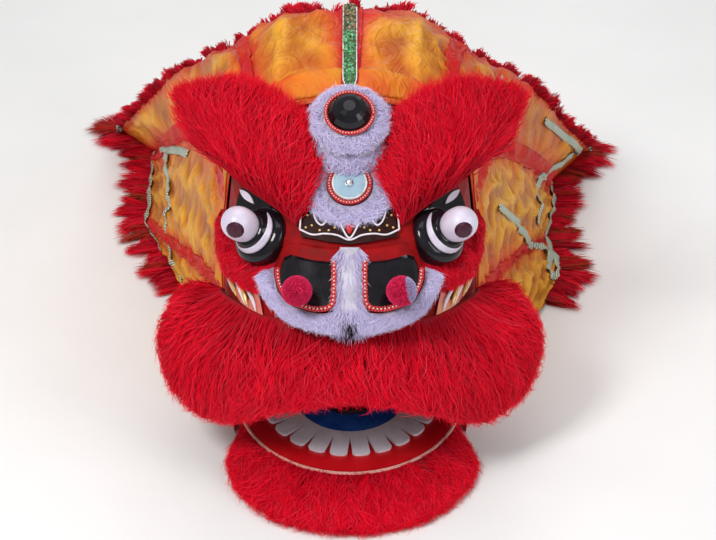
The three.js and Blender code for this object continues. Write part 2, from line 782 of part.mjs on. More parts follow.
// The bead trim's line round the nostril: down the inner side, along the foot and up the outer side
function trimLine(side, outset) {
  const inner = side * (NOSTRIL_INNER - outset);
  const outer = side * (NOSTRIL_OUTER + outset);
  const low = NOSTRIL_LOW - outset;
  return [
    [inner, NOSTRIL_HIGH - 2],
    [inner, low + 26],
    [inner + side * 4, low + 6],
    [inner + side * 22, low],
    [mix(inner, outer, 0.55), low],
    [outer - side * 18, low + 1],
    [outer - side * 2, low + 12],
    [outer, low + 24],
  ];
}

function nostrilBeads(side, grow = 0) {
  const line = onNose(trimLine(side, 3.5), BEAD_BAND_RADIUS + 1);
  return tube(line, BEAD_BAND_RADIUS + grow, 5, 12);
}

function nostrilFur(side, grow = 0) {
  const line = trimLine(side, 10).slice(2);
  const root = onNose(line, 3);
  const tip = line.map(([x, z], i) => {
    const share = i / (line.length - 1);
    const outward = mix(-4, 26, Math.max(0, share * 1.6 - 0.6));
    const fall = mix(26, 12, share);
    return V(x + side * outward, root[i].y - 10 - 4 * (1 - share), z - fall);
  });
  return fur({
    root,
    tip,
    out: line.map((_, i) => V(side * 0.2 * (i / 5), -0.9, 0.45)),
    depth: [10, 12, 12, 12, 9],
    under: 6,
    locks: 7,
    bite: 0.3,
    columns: 2,
    grow,
  });
}

// White fur down the ridge of the nose, over its tip
function noseRidgeFur(grow = 0) {
  const reachOf = (rise) => NOSE_REACH * lookup(NOSE_SECTIONS, "rise", rise, "reach");
  const stations = [
    { z: NOSE_TOP + 8, rise: 1, half: 18 },
    { z: mix(NOSE_BOTTOM, NOSE_TOP, 0.87), rise: 0.87, half: 18 },
    { z: mix(NOSE_BOTTOM, NOSE_TOP, 0.6), rise: 0.6, half: 17 },
    { z: mix(NOSE_BOTTOM, NOSE_TOP, 0.33), rise: 0.33, half: 18 },
    { z: mix(NOSE_BOTTOM, NOSE_TOP, 0.1), rise: 0.1, half: 26 },
    { z: NOSE_BOTTOM - 14, rise: 0, half: 16 },
  ];
  const end = stations.length - 1;
  const rings = stations.map(({ z: level, rise, half }, i) => {
    const z = level + (i === 0 ? grow : 0) - (i === end ? grow : 0);
    const y = -reachOf(rise);
    const lift = (i === 0 || i === end ? 6 : 11) + grow;
    return Array.from({ length: 12 }, (_, j) => {
      const turn = (2 * Math.PI * (j + 0.5)) / 12;
      const ragged = 1 + (j % 2 ? 0.12 : -0.06);
      return V(
        (half + grow) * ragged * Math.cos(turn),
        y - (lift + grow) * Math.sin(turn) * ragged * 0.8 - 3,
        z + lift * 0.6 * Math.sin(turn),
      );
    });
  });
  return loft(rings);
}

function pompomCentre(side) {
  return V(side * POMPOM_SIDE, -NOSE_REACH - POMPOM_RADIUS + POMPOM_SINK, POMPOM_HEIGHT);
}

function pompom(side) {
  const ball = new THREE.IcosahedronGeometry(POMPOM_RADIUS, 2);
  const { x, y, z } = pompomCentre(side);
  return solidOf(ball.translate(x, y, z)).subtract(pompomPost(side, SEAT_GAP));
}

function pompomPost(side, grow = 0) {
  const centre = pompomCentre(side);
  const foot = onNose([[0.94 * side * POMPOM_SIDE, NOSE_BOTTOM + 0.6087 * NOSE_TALL]], -POMPOM_SINK)[0];
  const way = centre.clone().sub(foot);
  const length = way.length() - 0.4 * POMPOM_RADIUS + grow;
  const post = lathe(
    [
      [0, 0],
      [POMPOM_POST_RADIUS + grow, 0],
      [POMPOM_POST_RADIUS + grow, length],
      [0, length],
    ],
    12,
  );
  return placed(post, foot, way, V(1, 0, 0));
}

// Forehead plate with its raised white scroll

function plateOutline() {
  const half = PLATE_HALF_WIDTH;
  const tall = PLATE_HIGH - PLATE_LOW;
  const outline = new THREE.Shape();
  outline.moveTo(-half, PLATE_LOW + 0.1 * tall);
  outline.quadraticCurveTo(-0.5 * half, PLATE_LOW + 0.12 * tall, 0, PLATE_LOW);
  outline.quadraticCurveTo(0.5 * half, PLATE_LOW + 0.12 * tall, half, PLATE_LOW + 0.1 * tall);
  outline.lineTo(0.9 * half, PLATE_HIGH);
  outline.quadraticCurveTo(0.62 * half, PLATE_HIGH - 0.1 * tall, 0.5 * half, PLATE_LOW + 0.6 * tall);
  outline.quadraticCurveTo(0.25 * half, PLATE_HIGH, 0, PLATE_HIGH);
  outline.quadraticCurveTo(-0.25 * half, PLATE_HIGH, -0.5 * half, PLATE_LOW + 0.6 * tall);
  outline.quadraticCurveTo(-0.62 * half, PLATE_HIGH - 0.1 * tall, -0.9 * half, PLATE_HIGH);
  outline.closePath();
  return outline;
}

function foreheadPlate() {
  return frontLayer(headEnvelope, SEAT_GAP, SEAT_GAP + 2 * PLATE_THICKNESS, plateOutline());
}

function foreheadScroll() {
  const tall = PLATE_HIGH - PLATE_LOW;
  const onForehead = (points) =>
    points.map(([side, rise]) => {
      const x = side * PLATE_HALF_WIDTH;
      const z = PLATE_LOW + rise * tall;
      return V(x, headFrontAt(x, z) - PLATE_THICKNESS - 2 * SCROLL_RADIUS, z + PLATE_THICKNESS);
    });
  const foot = [
    [-1, 0.06],
    [-0.5, 0.14],
    [0, 0],
    [0.5, 0.14],
    [1, 0.06],
  ];
  const bud = [
    [0, 0],
    [0.2, 0.4],
    [0.12, 0.85],
    [-0.12, 0.85],
    [-0.2, 0.4],
  ];
  const wave = [
    [0.08, 0.02],
    [0.3, 0.72],
    [0.5, 0.5],
    [0.68, 0.62],
    [0.8, 0.95],
    [0.92, 0.9],
    [0.98, 0.08],
  ];
  const mirrored = wave.map(([side, rise]) => [-side, rise]);
  return tube(onForehead(foot), SCROLL_RADIUS, 4, 6)
    .add(tube(onForehead(bud), SCROLL_RADIUS, 4, 6, true))
    .add(tube(onForehead(wave), SCROLL_RADIUS, 4, 6))
    .add(tube(onForehead(mirrored), SCROLL_RADIUS, 4, 6))
    .subtract(headEnvelope(2 * SEAT_GAP + 2 * PLATE_THICKNESS));
}

// Mirror

const mirrorTilt = THREE.MathUtils.degToRad(MIRROR_TILT_DEG);
const mirrorAxis = V(0, -Math.cos(mirrorTilt), Math.sin(mirrorTilt));
const mirrorOrigin = V(0, headFrontAt(0, MIRROR_HEIGHT), MIRROR_HEIGHT);
const MIRROR_FACE = 14;

function ringFur({ inner, outer, rootHeight, tipHeight, depth, under, locks, bite, grow = 0 }) {
  const around = Array.from({ length: 16 }, (_, i) => (2 * Math.PI * i) / 16);
  const circle = (radius, height) => around.map((t) => V(radius * Math.cos(t), radius * Math.sin(t), height));
  return fur({
    root: circle(inner, rootHeight),
    tip: circle(outer, tipHeight),
    out: around.map((t) => V(0.5 * Math.cos(t), 0.5 * Math.sin(t), 1)),
    depth: [depth, depth],
    under,
    locks,
    bite,
    columns: 2,
    closed: true,
    grow,
  });
}

function mirrorFur(grow = 0) {
  const ring = ringFur({
    inner: MIRROR_RADIUS + MIRROR_RIM + 7,
    outer: MIRROR_FUR_REACH,
    rootHeight: 6,
    tipHeight: 8,
    depth: 10,
    under: 14,
    locks: 12,
    bite: 0.26,
    grow,
  });
  return placed(ring, mirrorOrigin, mirrorAxis);
}

function mirrorRim() {
  const outer = MIRROR_RADIUS + MIRROR_RIM;
  const cup = lathe(
    [
      [0, -14],
      [outer, -14],
      [outer, MIRROR_FACE],
      [outer - 1, MIRROR_FACE + 1.5],
      [MIRROR_RADIUS - 0.5, MIRROR_FACE + 1.5],
      [MIRROR_RADIUS - 0.5, MIRROR_FACE - 2],
      [0, MIRROR_FACE - 2],
    ],
    24,
  );
  return placed(cup, mirrorOrigin, mirrorAxis).subtract(headEnvelope(SEAT_GAP));
}

// Room for the mirror and its beads
function mirrorColumn() {
  const radius = MIRROR_RADIUS + MIRROR_RIM + 8;
  const column = lathe(
    [
      [0, -20],
      [radius, -20],
      [radius, 40],
      [0, 40],
    ],
    24,
  );
  return placed(column, mirrorOrigin, mirrorAxis);
}

function mirrorDisc() {
  const radius = MIRROR_RADIUS - 0.5 - SEAT_GAP;
  const low = MIRROR_FACE - 2 + SEAT_GAP;
  const disc = lathe(
    [
      [0, low],
      [radius, low],
      [radius, MIRROR_FACE + 0.5],
      [0, MIRROR_FACE + 0.5],
    ],
    24,
  );
  return placed(disc, mirrorOrigin, mirrorAxis);
}

function mirrorBoss() {
  const low = MIRROR_FACE + 0.5 + SEAT_GAP;
  const dome = lathe(
    [
      [0, low],
      [6.5, low],
      [6, low + 3],
      [3.6, low + 5.6],
      [0, low + 6.5],
    ],
    16,
  );
  return placed(dome, mirrorOrigin, mirrorAxis);
}

function ringTube(radius, height, thickness, segments, sides = 6) {
  const profile = Array.from({ length: sides + 1 }, (_, i) => {
    const turn = (2 * Math.PI * i) / sides;
    return [radius + thickness * Math.cos(turn), height + thickness * Math.sin(turn)];
  });
  profile[sides] = profile[0];
  return lathe(profile, segments);
}

function mirrorBeads() {
  const radius = MIRROR_RADIUS + MIRROR_RIM + SEAT_GAP + 3;
  return placed(ringTube(radius, 11, 3, 18), mirrorOrigin, mirrorAxis).subtract(headEnvelope(SEAT_GAP));
}

// Horn

const hornTilt = THREE.MathUtils.degToRad(HORN_TILT_DEG);
const hornAxis = V(0, -Math.cos(hornTilt), Math.sin(hornTilt));
const hornY = lipY + HORN_SETBACK;
const hornOrigin = V(0, hornY, headTopAt(0, hornY));

function hornCore(grow = 0) {
  const core = lathe(
    [
      [0, -40],
      [HORN_CORE_RADIUS + grow, -40],
      [HORN_CORE_RADIUS + grow, 0.6 * HORN_HEIGHT],
      [0.78 * HORN_CORE_RADIUS + grow, 0.62 * HORN_HEIGHT],
      [0.74 * HORN_CORE_RADIUS + grow, HORN_HEIGHT - 4 + grow],
      [0, HORN_HEIGHT - 4 + grow],
    ],
    24,
  );
  return placed(core, hornOrigin, hornAxis);
}

function hornTip() {
  const low = HORN_HEIGHT - 4 + SEAT_GAP;
  const radius = HORN_TIP_RADIUS;
  const dome = lathe(
    [
      [0, low],
      [radius, low],
      [radius, low + 3],
      [0.95 * radius, low + 9],
      [0.8 * radius, low + 17],
      [0.56 * radius, low + 23],
      [0.28 * radius, low + 26],
      [0, low + 27],
    ],
    22,
  );
  return placed(dome, hornOrigin, hornAxis);
}

function hornFurLower(grow = 0) {
  const ring = ringFur({
    inner: HORN_CORE_RADIUS + 4,
    outer: HORN_FUR_REACH,
    rootHeight: 0.5 * HORN_HEIGHT,
    tipHeight: 0.24 * HORN_HEIGHT,
    depth: 12,
    under: 8,
    locks: 12,
    bite: 0.22,
    grow,
  });
  return placed(ring, hornOrigin, hornAxis);
}

function hornFurUpper(grow = 0) {
  const ring = ringFur({
    inner: HORN_TIP_RADIUS + 0.5,
    outer: HORN_CORE_RADIUS + 9,
    rootHeight: 0.9 * HORN_HEIGHT,
    tipHeight: 0.74 * HORN_HEIGHT,
    depth: 8,
    under: 5,
    locks: 10,
    bite: 0.18,
    grow,
  });
  return placed(ring, hornOrigin, hornAxis).subtract(hornCore(SEAT_GAP));
}

function hornBeads(radius, height, grow = 0) {
  return placed(ringTube(radius, height, 3 + grow, 18), hornOrigin, hornAxis);
}

// Cape

// Places down the arch where the cape leaves the shell, from the crown to the floor
const archLine = (() => {
  const top = headTopAt(0, CAPE_ROOT);
  const points = [V(0, 0, top)];
  for (let i = 1; i <= 60; i++) {
    const z = top * (1 - i / 60);
    const { middle, length, width } = headSizes(z);
    const off = Math.abs((CAPE_ROOT - middle) / length);
    points.push(V(width * Math.max(0, 1 - off ** HEAD_ROUNDNESS) ** (1 / HEAD_ROUNDNESS), 0, z));
  }
  const lengths = [0];
  points.forEach((p, i) => i && lengths.push(lengths[i - 1] + p.distanceTo(points[i - 1])));
  const total = lengths[lengths.length - 1];
  return points.map((p, i) => ({ share: lengths[i] / total, x: p.x, z: p.z }));
})();

// Shares of the arch from its top to the hem's corner, and from there to the side's own fall
const CAPE_CORNER_ARCH = 0.34;
const CAPE_SIDE_ARCH = 0.3;

// A point of the cape: across from -1 to 1 runs along the arch, and way from 0 to 1 runs down to the hem
function capePoint(across, way) {
  const side = Math.sign(across) || 1;
  const arch = Math.abs(across);
  const rootX = lookup(archLine, "share", arch, "x");
  const rootZ = lookup(archLine, "share", arch, "z");
  const name = side < 0 ? "left" : "right";
  const hemX = CAPE_CORNER_WIDTH * lookup(CAPE_HEM, "arch", arch, name + "Side");
  const hemY = CAPE_ROOT + CAPE_LENGTH * lookup(CAPE_HEM, "arch", arch, name + "Back");
  const cornerShare = Math.min(1, arch / CAPE_CORNER_ARCH);
  const sideShare = Math.min(1, Math.max(0, (arch - CAPE_CORNER_ARCH) / CAPE_SIDE_ARCH));
  const backHeight = lookup(CAPE_FALL, "way", way, "back");
  const cornerHeight = lookup(CAPE_FALL, "way", way, "corner");
  const sideHeight = lookup(CAPE_FALL, "way", way, "side");
  const height = mix(mix(backHeight, cornerHeight, cornerShare), sideHeight, sideShare);
  const late = lookup(CAPE_FALL, "way", way, "reach");
  const reach = mix(late, way, Math.max(1 - cornerShare, sideShare));
  const x = mix(rootX, hemX, reach);
  const y = mix(CAPE_ROOT, hemY, way);
  const puff = CAPE_PUFF * petalShape(arch) * Math.sin(Math.PI * Math.min(1, way * 1.05)) ** 1.4;
  const z = Math.max(rootZ * height, 3) + puff * (1 - 0.5 * sideShare);
  const clearance = mix(-CAPE_SEAM_BITE, CAPE_CLEARANCE, Math.min(1, way / CAPE_WAYS[2]));
  const clear = headTopAt(x, y);
  const floor = clear > 0.3 * HEAD_HEIGHT ? clear + 2 * clearance : CAPE_CLEARANCE;
  const out = clearance + 0.5 * sideShare * puff;
  return V(side * (x + out * Math.min(1, arch * 3)), y, Math.max(z, floor));
}

// 0 on a rib and 1 in the middle of the petal between two ribs
function petalShape(arch) {
  const stops = [...CAPE_RIBS, 1];
  for (let i = 0; i < stops.length - 1; i++) {
    if (arch <= stops[i + 1]) {
      const share = (arch - stops[i]) / (stops[i + 1] - stops[i]);
      return Math.sin(Math.PI * share);
    }
  }
  return 0;
}

function capeNormal(across, way) {
  const step = 0.004;
  const along = capePoint(across + step, way).sub(capePoint(across - step, way));
  const down = capePoint(across, Math.min(1, way + step)).sub(capePoint(across, Math.max(0, way - step)));
  const normal = along.cross(down).normalize();
  const outward = V(Math.sign(across) * 0.5, 0.2, 1);
  return normal.dot(outward) < 0 ? normal.negate() : normal;
}

const CAPE_WAYS = [0, 0.012, 0.06, 0.14, 0.21, 0.29, 0.4, 0.54, 0.69, 0.84, 0.962, 0.966, 0.986, 1];
const COLLAR_WAYS = CAPE_WAYS.slice(1, 3);
const RIB_WAYS = CAPE_WAYS.slice(1, -3);
const BRAID_WAYS = CAPE_WAYS.slice(-3, -1);
const PETAL_COLUMNS = 3;
const RIB_HALF = 0.024;
const CAPE_END = 0.996;
const ribStops = [...CAPE_RIBS.slice(1).map((stop) => -stop).reverse(), ...CAPE_RIBS];

// Places across the cape where its sheets have a row of points: both edges and the middle of each rib, and
// between the ribs
const CAPE_COLUMNS = (() => {
  const half = [0, RIB_HALF];
  const stops = [...CAPE_RIBS.slice(1), CAPE_END + RIB_HALF];
  for (const stop of stops) {
    const from = half[half.length - 1];
    const to = stop - RIB_HALF;
    for (let i = 1; i <= PETAL_COLUMNS; i++) half.push(mix(from, to, i / PETAL_COLUMNS));
    if (stop < CAPE_END) half.push(stop, stop + RIB_HALF);
  }
  return [...half.slice(1).map((value) => -value).reverse(), ...half];
})();

// A sheet lying on the cape, from one height over its underside to another, on its own rows of points
function capeSheet(low, high, columns = CAPE_COLUMNS, ways = CAPE_WAYS) {
  const rings = columns.map((across) => {
    const at = (way, lift) => capePoint(across, way).addScaledVector(capeNormal(across, way), lift);
    return [...ways.map((way) => at(way, low)), ...[...ways].reverse().map((way) => at(way, high))];
  });
  return loft(rings);
}

const columnsBetween = (from, to) => CAPE_COLUMNS.filter((value) => value > from - 1e-6 && value < to + 1e-6);

// All that lies on the cape, grown, for cutting its neighbours
function capeKeepOut(grow = SEAT_GAP) {
  return capeSheet(-grow, CAPE_THICKNESS + RIB_THICKNESS + grow);
}

// Red satin bands down the ribs, joined by the band along the arch
function capeTrim() {
  const low = CAPE_THICKNESS + SEAT_GAP;
  const high = low + RIB_THICKNESS;
  const collar = capeSheet(low, high, columnsBetween(-0.95, 0.95), COLLAR_WAYS);
  return ribStops.reduce(
    (solid, stop) => {
      const columns = columnsBetween(stop - RIB_HALF, stop + RIB_HALF);
      return solid.add(capeSheet(low, high, columns, RIB_WAYS));
    },
    collar,
  );
}

// Silver braid just inside the hem
function capeBraid() {
  const low = CAPE_THICKNESS + SEAT_GAP;
  return capeSheet(low, low + BRAID_THICKNESS, columnsBetween(-0.8, 0.9), BRAID_WAYS);
}

// Red fringe round the hem, lying on the floor, of pointed tufts on one band that follows the cloth's edge
function capeFringe() {
  const edge = columnsBetween(-0.99, 0.99).map((across) => capePoint(across, 1));
  const rings = [];
  for (let i = 0; i <= 2 * (edge.length - 1); i++) {
    const from = edge[Math.floor(i / 2)];
    const to = edge[Math.ceil(i / 2)];
    const hem = from.clone().lerp(to, 0.5);
    const last = edge[Math.max(0, Math.ceil(i / 2) - 1)];
    const next = edge[Math.min(edge.length - 1, Math.floor(i / 2) + 1)];
    const along = next.clone().sub(last);
    const centre = V(hem.x, hem.y - 0.4 * CAPE_LENGTH, 0).normalize();
    const way = V(-along.y, along.x, 0).normalize();
    if (way.dot(centre) < 0) way.negate();
    way.addScaledVector(centre, 0.5).normalize();
    const length = FRINGE_REACH * (0.9 + 0.2 * Math.sin(1.9 * i));
    const reach = i % 2 ? length : (1 - FRINGE_BITE) * length;
    const thick = i % 2 ? FRINGE_THICKNESS : 0.6 * FRINGE_THICKNESS;
    const at = (out, height) => V(hem.x, hem.y, height).addScaledVector(way, out);
    rings.push([
      at(4, 1),
      at(0.5 * reach, 1),
      at(reach, 1),
      at(reach, 3),
      at(0.5 * reach, thick),
      at(4, 2.2),
    ]);
  }
  return loft(rings);
}

// Green crest along the crown, from behind the horn
function crest() {
  const rings = [0, 0.04, 0.09, 0.14, 0.19, 0.24, 0.28].map((way, i, all) => {
    const spine = capePoint(0.0001, way);
    const half = (CREST_WIDTH / 2) * (i === 0 || i === all.length - 1 ? 0.6 : 1);
    const low = spine.z;
    const top = spine.z + CAPE_THICKNESS + RIB_THICKNESS + CREST_HEIGHT;
    return [
      V(-half, spine.y, low),
      V(-half, spine.y, top - 4),
      V(-0.5 * half, spine.y, top),
      V(0.5 * half, spine.y, top),
      V(half, spine.y, top - 4),
      V(half, spine.y, low),
    ];
  });
  return loft(rings).subtract(capeKeepOut(2 * SEAT_GAP));
}

// Jaw, made level about its hinge and then lowered by the droop

function arcOutline(radius, backAt) {
  const shape = new THREE.Shape();
  shape.moveTo(-radius, backAt);
  shape.lineTo(-radius, -JAW_CENTRE_FORWARD);
  shape.absarc(0, -JAW_CENTRE_FORWARD, radius, Math.PI, 2 * Math.PI, false);
  shape.lineTo(radius, backAt);
  shape.closePath();
  return shape;
}

function slab(shape, depth, low, curveSegments = 14) {
  return solidOf(
    new THREE.ExtrudeGeometry(shape, { depth, bevelEnabled: false, curveSegments }).translate(0, 0, low),
  );
}

function lowered(solid) {
  const matrix = new THREE.Matrix4()
    .makeRotationX(THREE.MathUtils.degToRad(JAW_DROOP_DEG))
    .setPosition(0, hingeY, HINGE_HEIGHT);
  return solid.transform(matrix.elements);
}

function jawPlate() {
  const plate = slab(arcOutline(JAW_RADIUS, JAW_REAR), JAW_THICKNESS, -JAW_THICKNESS / 2, 24);
  const pinLength = 2 * (HEAD_HALF_WIDTH - 1.5 * HINGE_CLEARANCE) - 5;
  const pins = placed(
    solidOf(
      new THREE.CylinderGeometry(HINGE_PIN_RADIUS, HINGE_PIN_RADIUS, pinLength, 16).rotateX(Math.PI / 2),
    ),
    V(0, 0, 0),
    V(1, 0, 0),
    V(0, 1, 0),
  );
  const shoulders = box(
    [-JAW_RADIUS - JAW_SIDE_CLEARANCE, -9, -8],
    [JAW_RADIUS + JAW_SIDE_CLEARANCE, 9, 8],
  );
  const hollow = box([-JAW_RADIUS + 14, -10, JAW_THICKNESS / 2], [JAW_RADIUS - 14, 10, 9]);
  const under = box([-JAW_RADIUS + 14, -10, -9], [JAW_RADIUS - 14, 10, -JAW_THICKNESS / 2]);
  const core = box([-JAW_RADIUS + 14, -9, -JAW_THICKNESS / 2 - 0.5], [JAW_RADIUS - 14, 9, JAW_THICKNESS / 2]);
  const stubs = pins.subtract(box([-JAW_RADIUS, -10, -10], [JAW_RADIUS, 10, 10]));
  const ears = shoulders.subtract(hollow).subtract(under).add(core.intersect(plate));
  return lowered(plate.add(ears).add(stubs));
}

function jawPiping() {
  const radius = JAW_RADIUS + SEAT_GAP + PIPING_RADIUS;
  const points = [];
  for (let degrees = 6; degrees <= 174; degrees += 7) {
    const turn = THREE.MathUtils.degToRad(degrees);
    points.push(V(radius * Math.cos(turn), -JAW_CENTRE_FORWARD - radius * Math.sin(turn), 0));
  }
  return lowered(tube(points, PIPING_RADIUS, 5, 26));
}

// One white ring with notches between the teeth
function jawTeeth() {
  const shape = new THREE.Shape();
  const step = Math.PI / TEETH_COUNT;
  const at = (radius, turn) => [radius * Math.cos(turn), -JAW_CENTRE_FORWARD + radius * Math.sin(turn)];
  shape.moveTo(...at(TEETH_INNER_RADIUS, Math.PI));
  for (let i = 0; i < TEETH_COUNT; i++) {
    const start = Math.PI + i * step;
    const edge = TOOTH_NOTCH_WIDTH / 2 / TEETH_OUTER_RADIUS;
    const rounding = 4;
    shape.lineTo(...at(TOOTH_NOTCH_ROOT, start));
    shape.lineTo(...at(TEETH_OUTER_RADIUS - rounding, start + edge));
    shape.lineTo(...at(TEETH_OUTER_RADIUS, start + 2 * edge));
    shape.lineTo(...at(TEETH_OUTER_RADIUS + 1, start + step / 2));
    shape.lineTo(...at(TEETH_OUTER_RADIUS, start + step - 2 * edge));
    shape.lineTo(...at(TEETH_OUTER_RADIUS - rounding, start + step - edge));
  }
  shape.lineTo(...at(TOOTH_NOTCH_ROOT, 2 * Math.PI));
  shape.lineTo(...at(TEETH_INNER_RADIUS, 2 * Math.PI));
  for (let i = 1; i < 24; i++) shape.lineTo(...at(TEETH_INNER_RADIUS, 2 * Math.PI - (i * Math.PI) / 24));
  shape.closePath();
  return lowered(slab(shape, TEETH_THICKNESS, JAW_THICKNESS / 2 + SEAT_GAP));
}

function jawGum() {
  const shape = arcOutline(TEETH_INNER_RADIUS - SEAT_GAP, -0.4 * JAW_CENTRE_FORWARD);
  return lowered(slab(shape, GUM_THICKNESS, JAW_THICKNESS / 2 + SEAT_GAP));
}

function tongue() {
  const shape = new THREE.Shape();
  const centre = -JAW_CENTRE_FORWARD - 0.5 * TONGUE_RADIUS;
  shape.absellipse(0, centre, 1.25 * TONGUE_RADIUS, TONGUE_RADIUS, 0, 2 * Math.PI);
  const low = JAW_THICKNESS / 2 + GUM_THICKNESS + 2 * SEAT_GAP;
  const solid = new THREE.ExtrudeGeometry(shape, {
    depth: TONGUE_THICKNESS - 3,
    bevelEnabled: true,
    bevelThickness: 3,
    bevelSize: 3,
    bevelOffset: -3,
    bevelSegments: 1,
    curveSegments: 10,
  });
  solid.translate(0, 0, low + 3);
  return lowered(solidOf(solid).subtract(box([-99, -99, low - 9], [99, 99, low])));
}

// Assembly

const head = new THREE.Group();
const jaw = new THREE.Group();
const cape = new THREE.Group();

function addPiece(group, name, solid, finish) {
  const mesh = new THREE.Mesh(geometryOf(solid), new THREE.MeshStandardMaterial(finish));
  mesh.name = name;
  group.add(mesh);
}

// A piece cut away where its neighbours are, keeping its largest body
function carved(solid, ...others) {
  const cut = others.reduce((left, other) => left.subtract(other), solid);
  return cut.decompose().reduce((best, body) => (body.volume() > best.volume() ? body : best));
}

const envelope = headEnvelope(SEAT_GAP);
const sides = [
  { side: -1, name: "left" },
  { side: 1, name: "right" },
];

addPiece(head, "head_shell", headShell(), RED_PAINT);
const nose = noseForm(0).subtract(envelope).subtract(eyeForm(-1, 1)).subtract(eyeForm(1, 1));
addPiece(head, "nose", nose, RED_PAINT);
addPiece(head, "nose_ridge_fur", carved(noseRidgeFur(), noseForm(2), envelope), WHITE_FUR);
for (const { side, name } of sides) {
  addPiece(head, "eye_base_" + name, eyeForm(side).subtract(envelope), BLACK_GLOSS);
  addPiece(head, "eye_ring_" + name, eyeRing(side), WHITE_PAINT);
  addPiece(head, "eye_ball_" + name, eyeBall(side), WHITE_PAINT);
  addPiece(head, "eye_pupil_" + name, pupilPlug(side), { color: "#2a0714", roughness: 0.2, metalness: 0 });
  addPiece(head, "eye_lid_" + name, eyeLid(side), WHITE_PAINT);
  const brow = carved(
    browFur(side),
    envelope,
    eyeKeepOut(side),
    mirrorFur(SEAT_GAP),
    hornFurLower(SEAT_GAP),
    capeKeepOut(),
  );
  addPiece(head, "brow_fur_" + name, brow, FURS);
  const panel = frontLayer(noseForm, SEAT_GAP, SEAT_GAP + NOSTRIL_THICKNESS, nostrilOutline(side));
  const nostril = carved(panel, pompomPost(side, SEAT_GAP), noseRidgeFur(SEAT_GAP));
  addPiece(head, "nostril_" + name, nostril, BLACK_GLOSS);
  const beads = carved(
    nostrilBeads(side),
    noseForm(SEAT_GAP),
    frontLayer(noseForm, 0, NOSTRIL_THICKNESS + 2 * SEAT_GAP, nostrilOutline(side, SEAT_GAP)),
    noseRidgeFur(SEAT_GAP),
    envelope,
  );
  addPiece(head, "nostril_beads_" + name, beads, BEADS);
  const trim = carved(
    nostrilFur(side),
    noseForm(SEAT_GAP),
    nostrilBeads(side, SEAT_GAP),
    noseRidgeFur(SEAT_GAP),
    envelope,
  );
  addPiece(head, "nostril_fur_" + name, trim, WHITE_FUR);
  addPiece(head, "pompom_post_" + name, pompomPost(side).subtract(noseForm(SEAT_GAP)), SILVER);
  addPiece(head, "pompom_" + name, pompom(side), { color: "#e3174d", roughness: 0.95, metalness: 0 });
  const cheek = carved(
    cheekFur(side),
    envelope,
    eyeForm(side, 1),
    noseForm(SEAT_GAP),
    nostrilFur(side, SEAT_GAP),
    nostrilBeads(side, SEAT_GAP),
    moustache(SEAT_GAP),
    frontLayer(headEnvelope, 0, 2 * SEAT_GAP + FLAME_THICKNESS, flameRoom(side)),
    capeKeepOut(),
  );
  addPiece(head, "cheek_fur_" + name, cheek, FURS);
  const flame = carved(cheekFlame(side), moustache(1.5), nostrilFur(side, SEAT_GAP), noseForm(SEAT_GAP));
  addPiece(head, "cheek_flame_" + name, flame, { color: "#e7a9a4", roughness: 0.35, metalness: 0 });
}

// Room round an eye that the brow keeps clear of
function eyeKeepOut(side) {
  const { origin, axis, tip } = eyePlace(side);
  const top = EYE_DOME + EYE_RING_HEIGHT + EYE_BALL_HEIGHT;
  const column = lathe(
    [
      [0, -20],
      [EYE_RING_RADIUS + 1, -20],
      [EYE_RING_RADIUS + 1, EYE_DOME + EYE_RING_HEIGHT],
      [EYE_BALL_RADIUS + 1.5, EYE_DOME + EYE_RING_HEIGHT + 3],
      [EYE_BALL_RADIUS + 1.5, top + 1],
      [0, top + 1],
    ],
    20,
  );
  const lid = lathe(
    [
      [0, 0],
      [EYE_TIP_LENGTH + 2, 0],
      [EYE_TIP_LENGTH + 2, 13.5 + SEAT_GAP],
      [0, 13.5 + SEAT_GAP],
    ],
    20,
  );
  return placed(column.add(lid), origin, axis, tip);
}

const foreheadCuts = [mirrorFur(SEAT_GAP), noseRidgeFur(SEAT_GAP), browFur(-1, 1), browFur(1, 1)];
addPiece(head, "forehead_plate", carved(foreheadPlate(), ...foreheadCuts), {
  color: "#1c0508",
  roughness: 0.35,
  metalness: 0,
});
addPiece(head, "forehead_scroll", carved(foreheadScroll(), ...foreheadCuts), WHITE_PAINT);
addPiece(head, "mirror_fur", carved(mirrorFur(), envelope, hornCore(3), hornFurLower(1)), WHITE_FUR);
addPiece(head, "mirror_beads", mirrorBeads(), BEADS);
addPiece(head, "mirror_rim", mirrorRim(), SILVER);
addPiece(head, "mirror_disc", mirrorDisc(), { color: "#a9cbe0", roughness: 0.05, metalness: 1 });
addPiece(head, "mirror_boss", mirrorBoss(), SILVER);
addPiece(head, "horn_core", hornCore().subtract(envelope).subtract(capeKeepOut()), RED_PAINT);
addPiece(head, "horn_tip", hornTip(), BLACK_GLOSS);
const upperBeads = [HORN_TIP_RADIUS + 3 + SEAT_GAP, HORN_HEIGHT];
const lowerBeads = [HORN_CORE_RADIUS + 4 + SEAT_GAP, 0.6 * HORN_HEIGHT];
addPiece(head, "horn_beads_upper", carved(hornBeads(...upperBeads), hornCore(SEAT_GAP)), BEADS);
addPiece(head, "horn_beads_lower", carved(hornBeads(...lowerBeads), hornCore(SEAT_GAP)), BEADS);
const upperFur = carved(
  hornFurUpper(),
  hornBeads(...upperBeads, SEAT_GAP),
  hornBeads(...lowerBeads, SEAT_GAP),
);
addPiece(head, "horn_fur_upper", upperFur, WHITE_FUR);
const lowerFur = carved(
  hornFurLower(),
  hornCore(SEAT_GAP),
  hornBeads(...lowerBeads, SEAT_GAP),
  hornFurUpper(SEAT_GAP),
  mirrorColumn(),
  envelope,
  capeKeepOut(),
);
addPiece(head, "horn_fur_lower", lowerFur, WHITE_FUR);
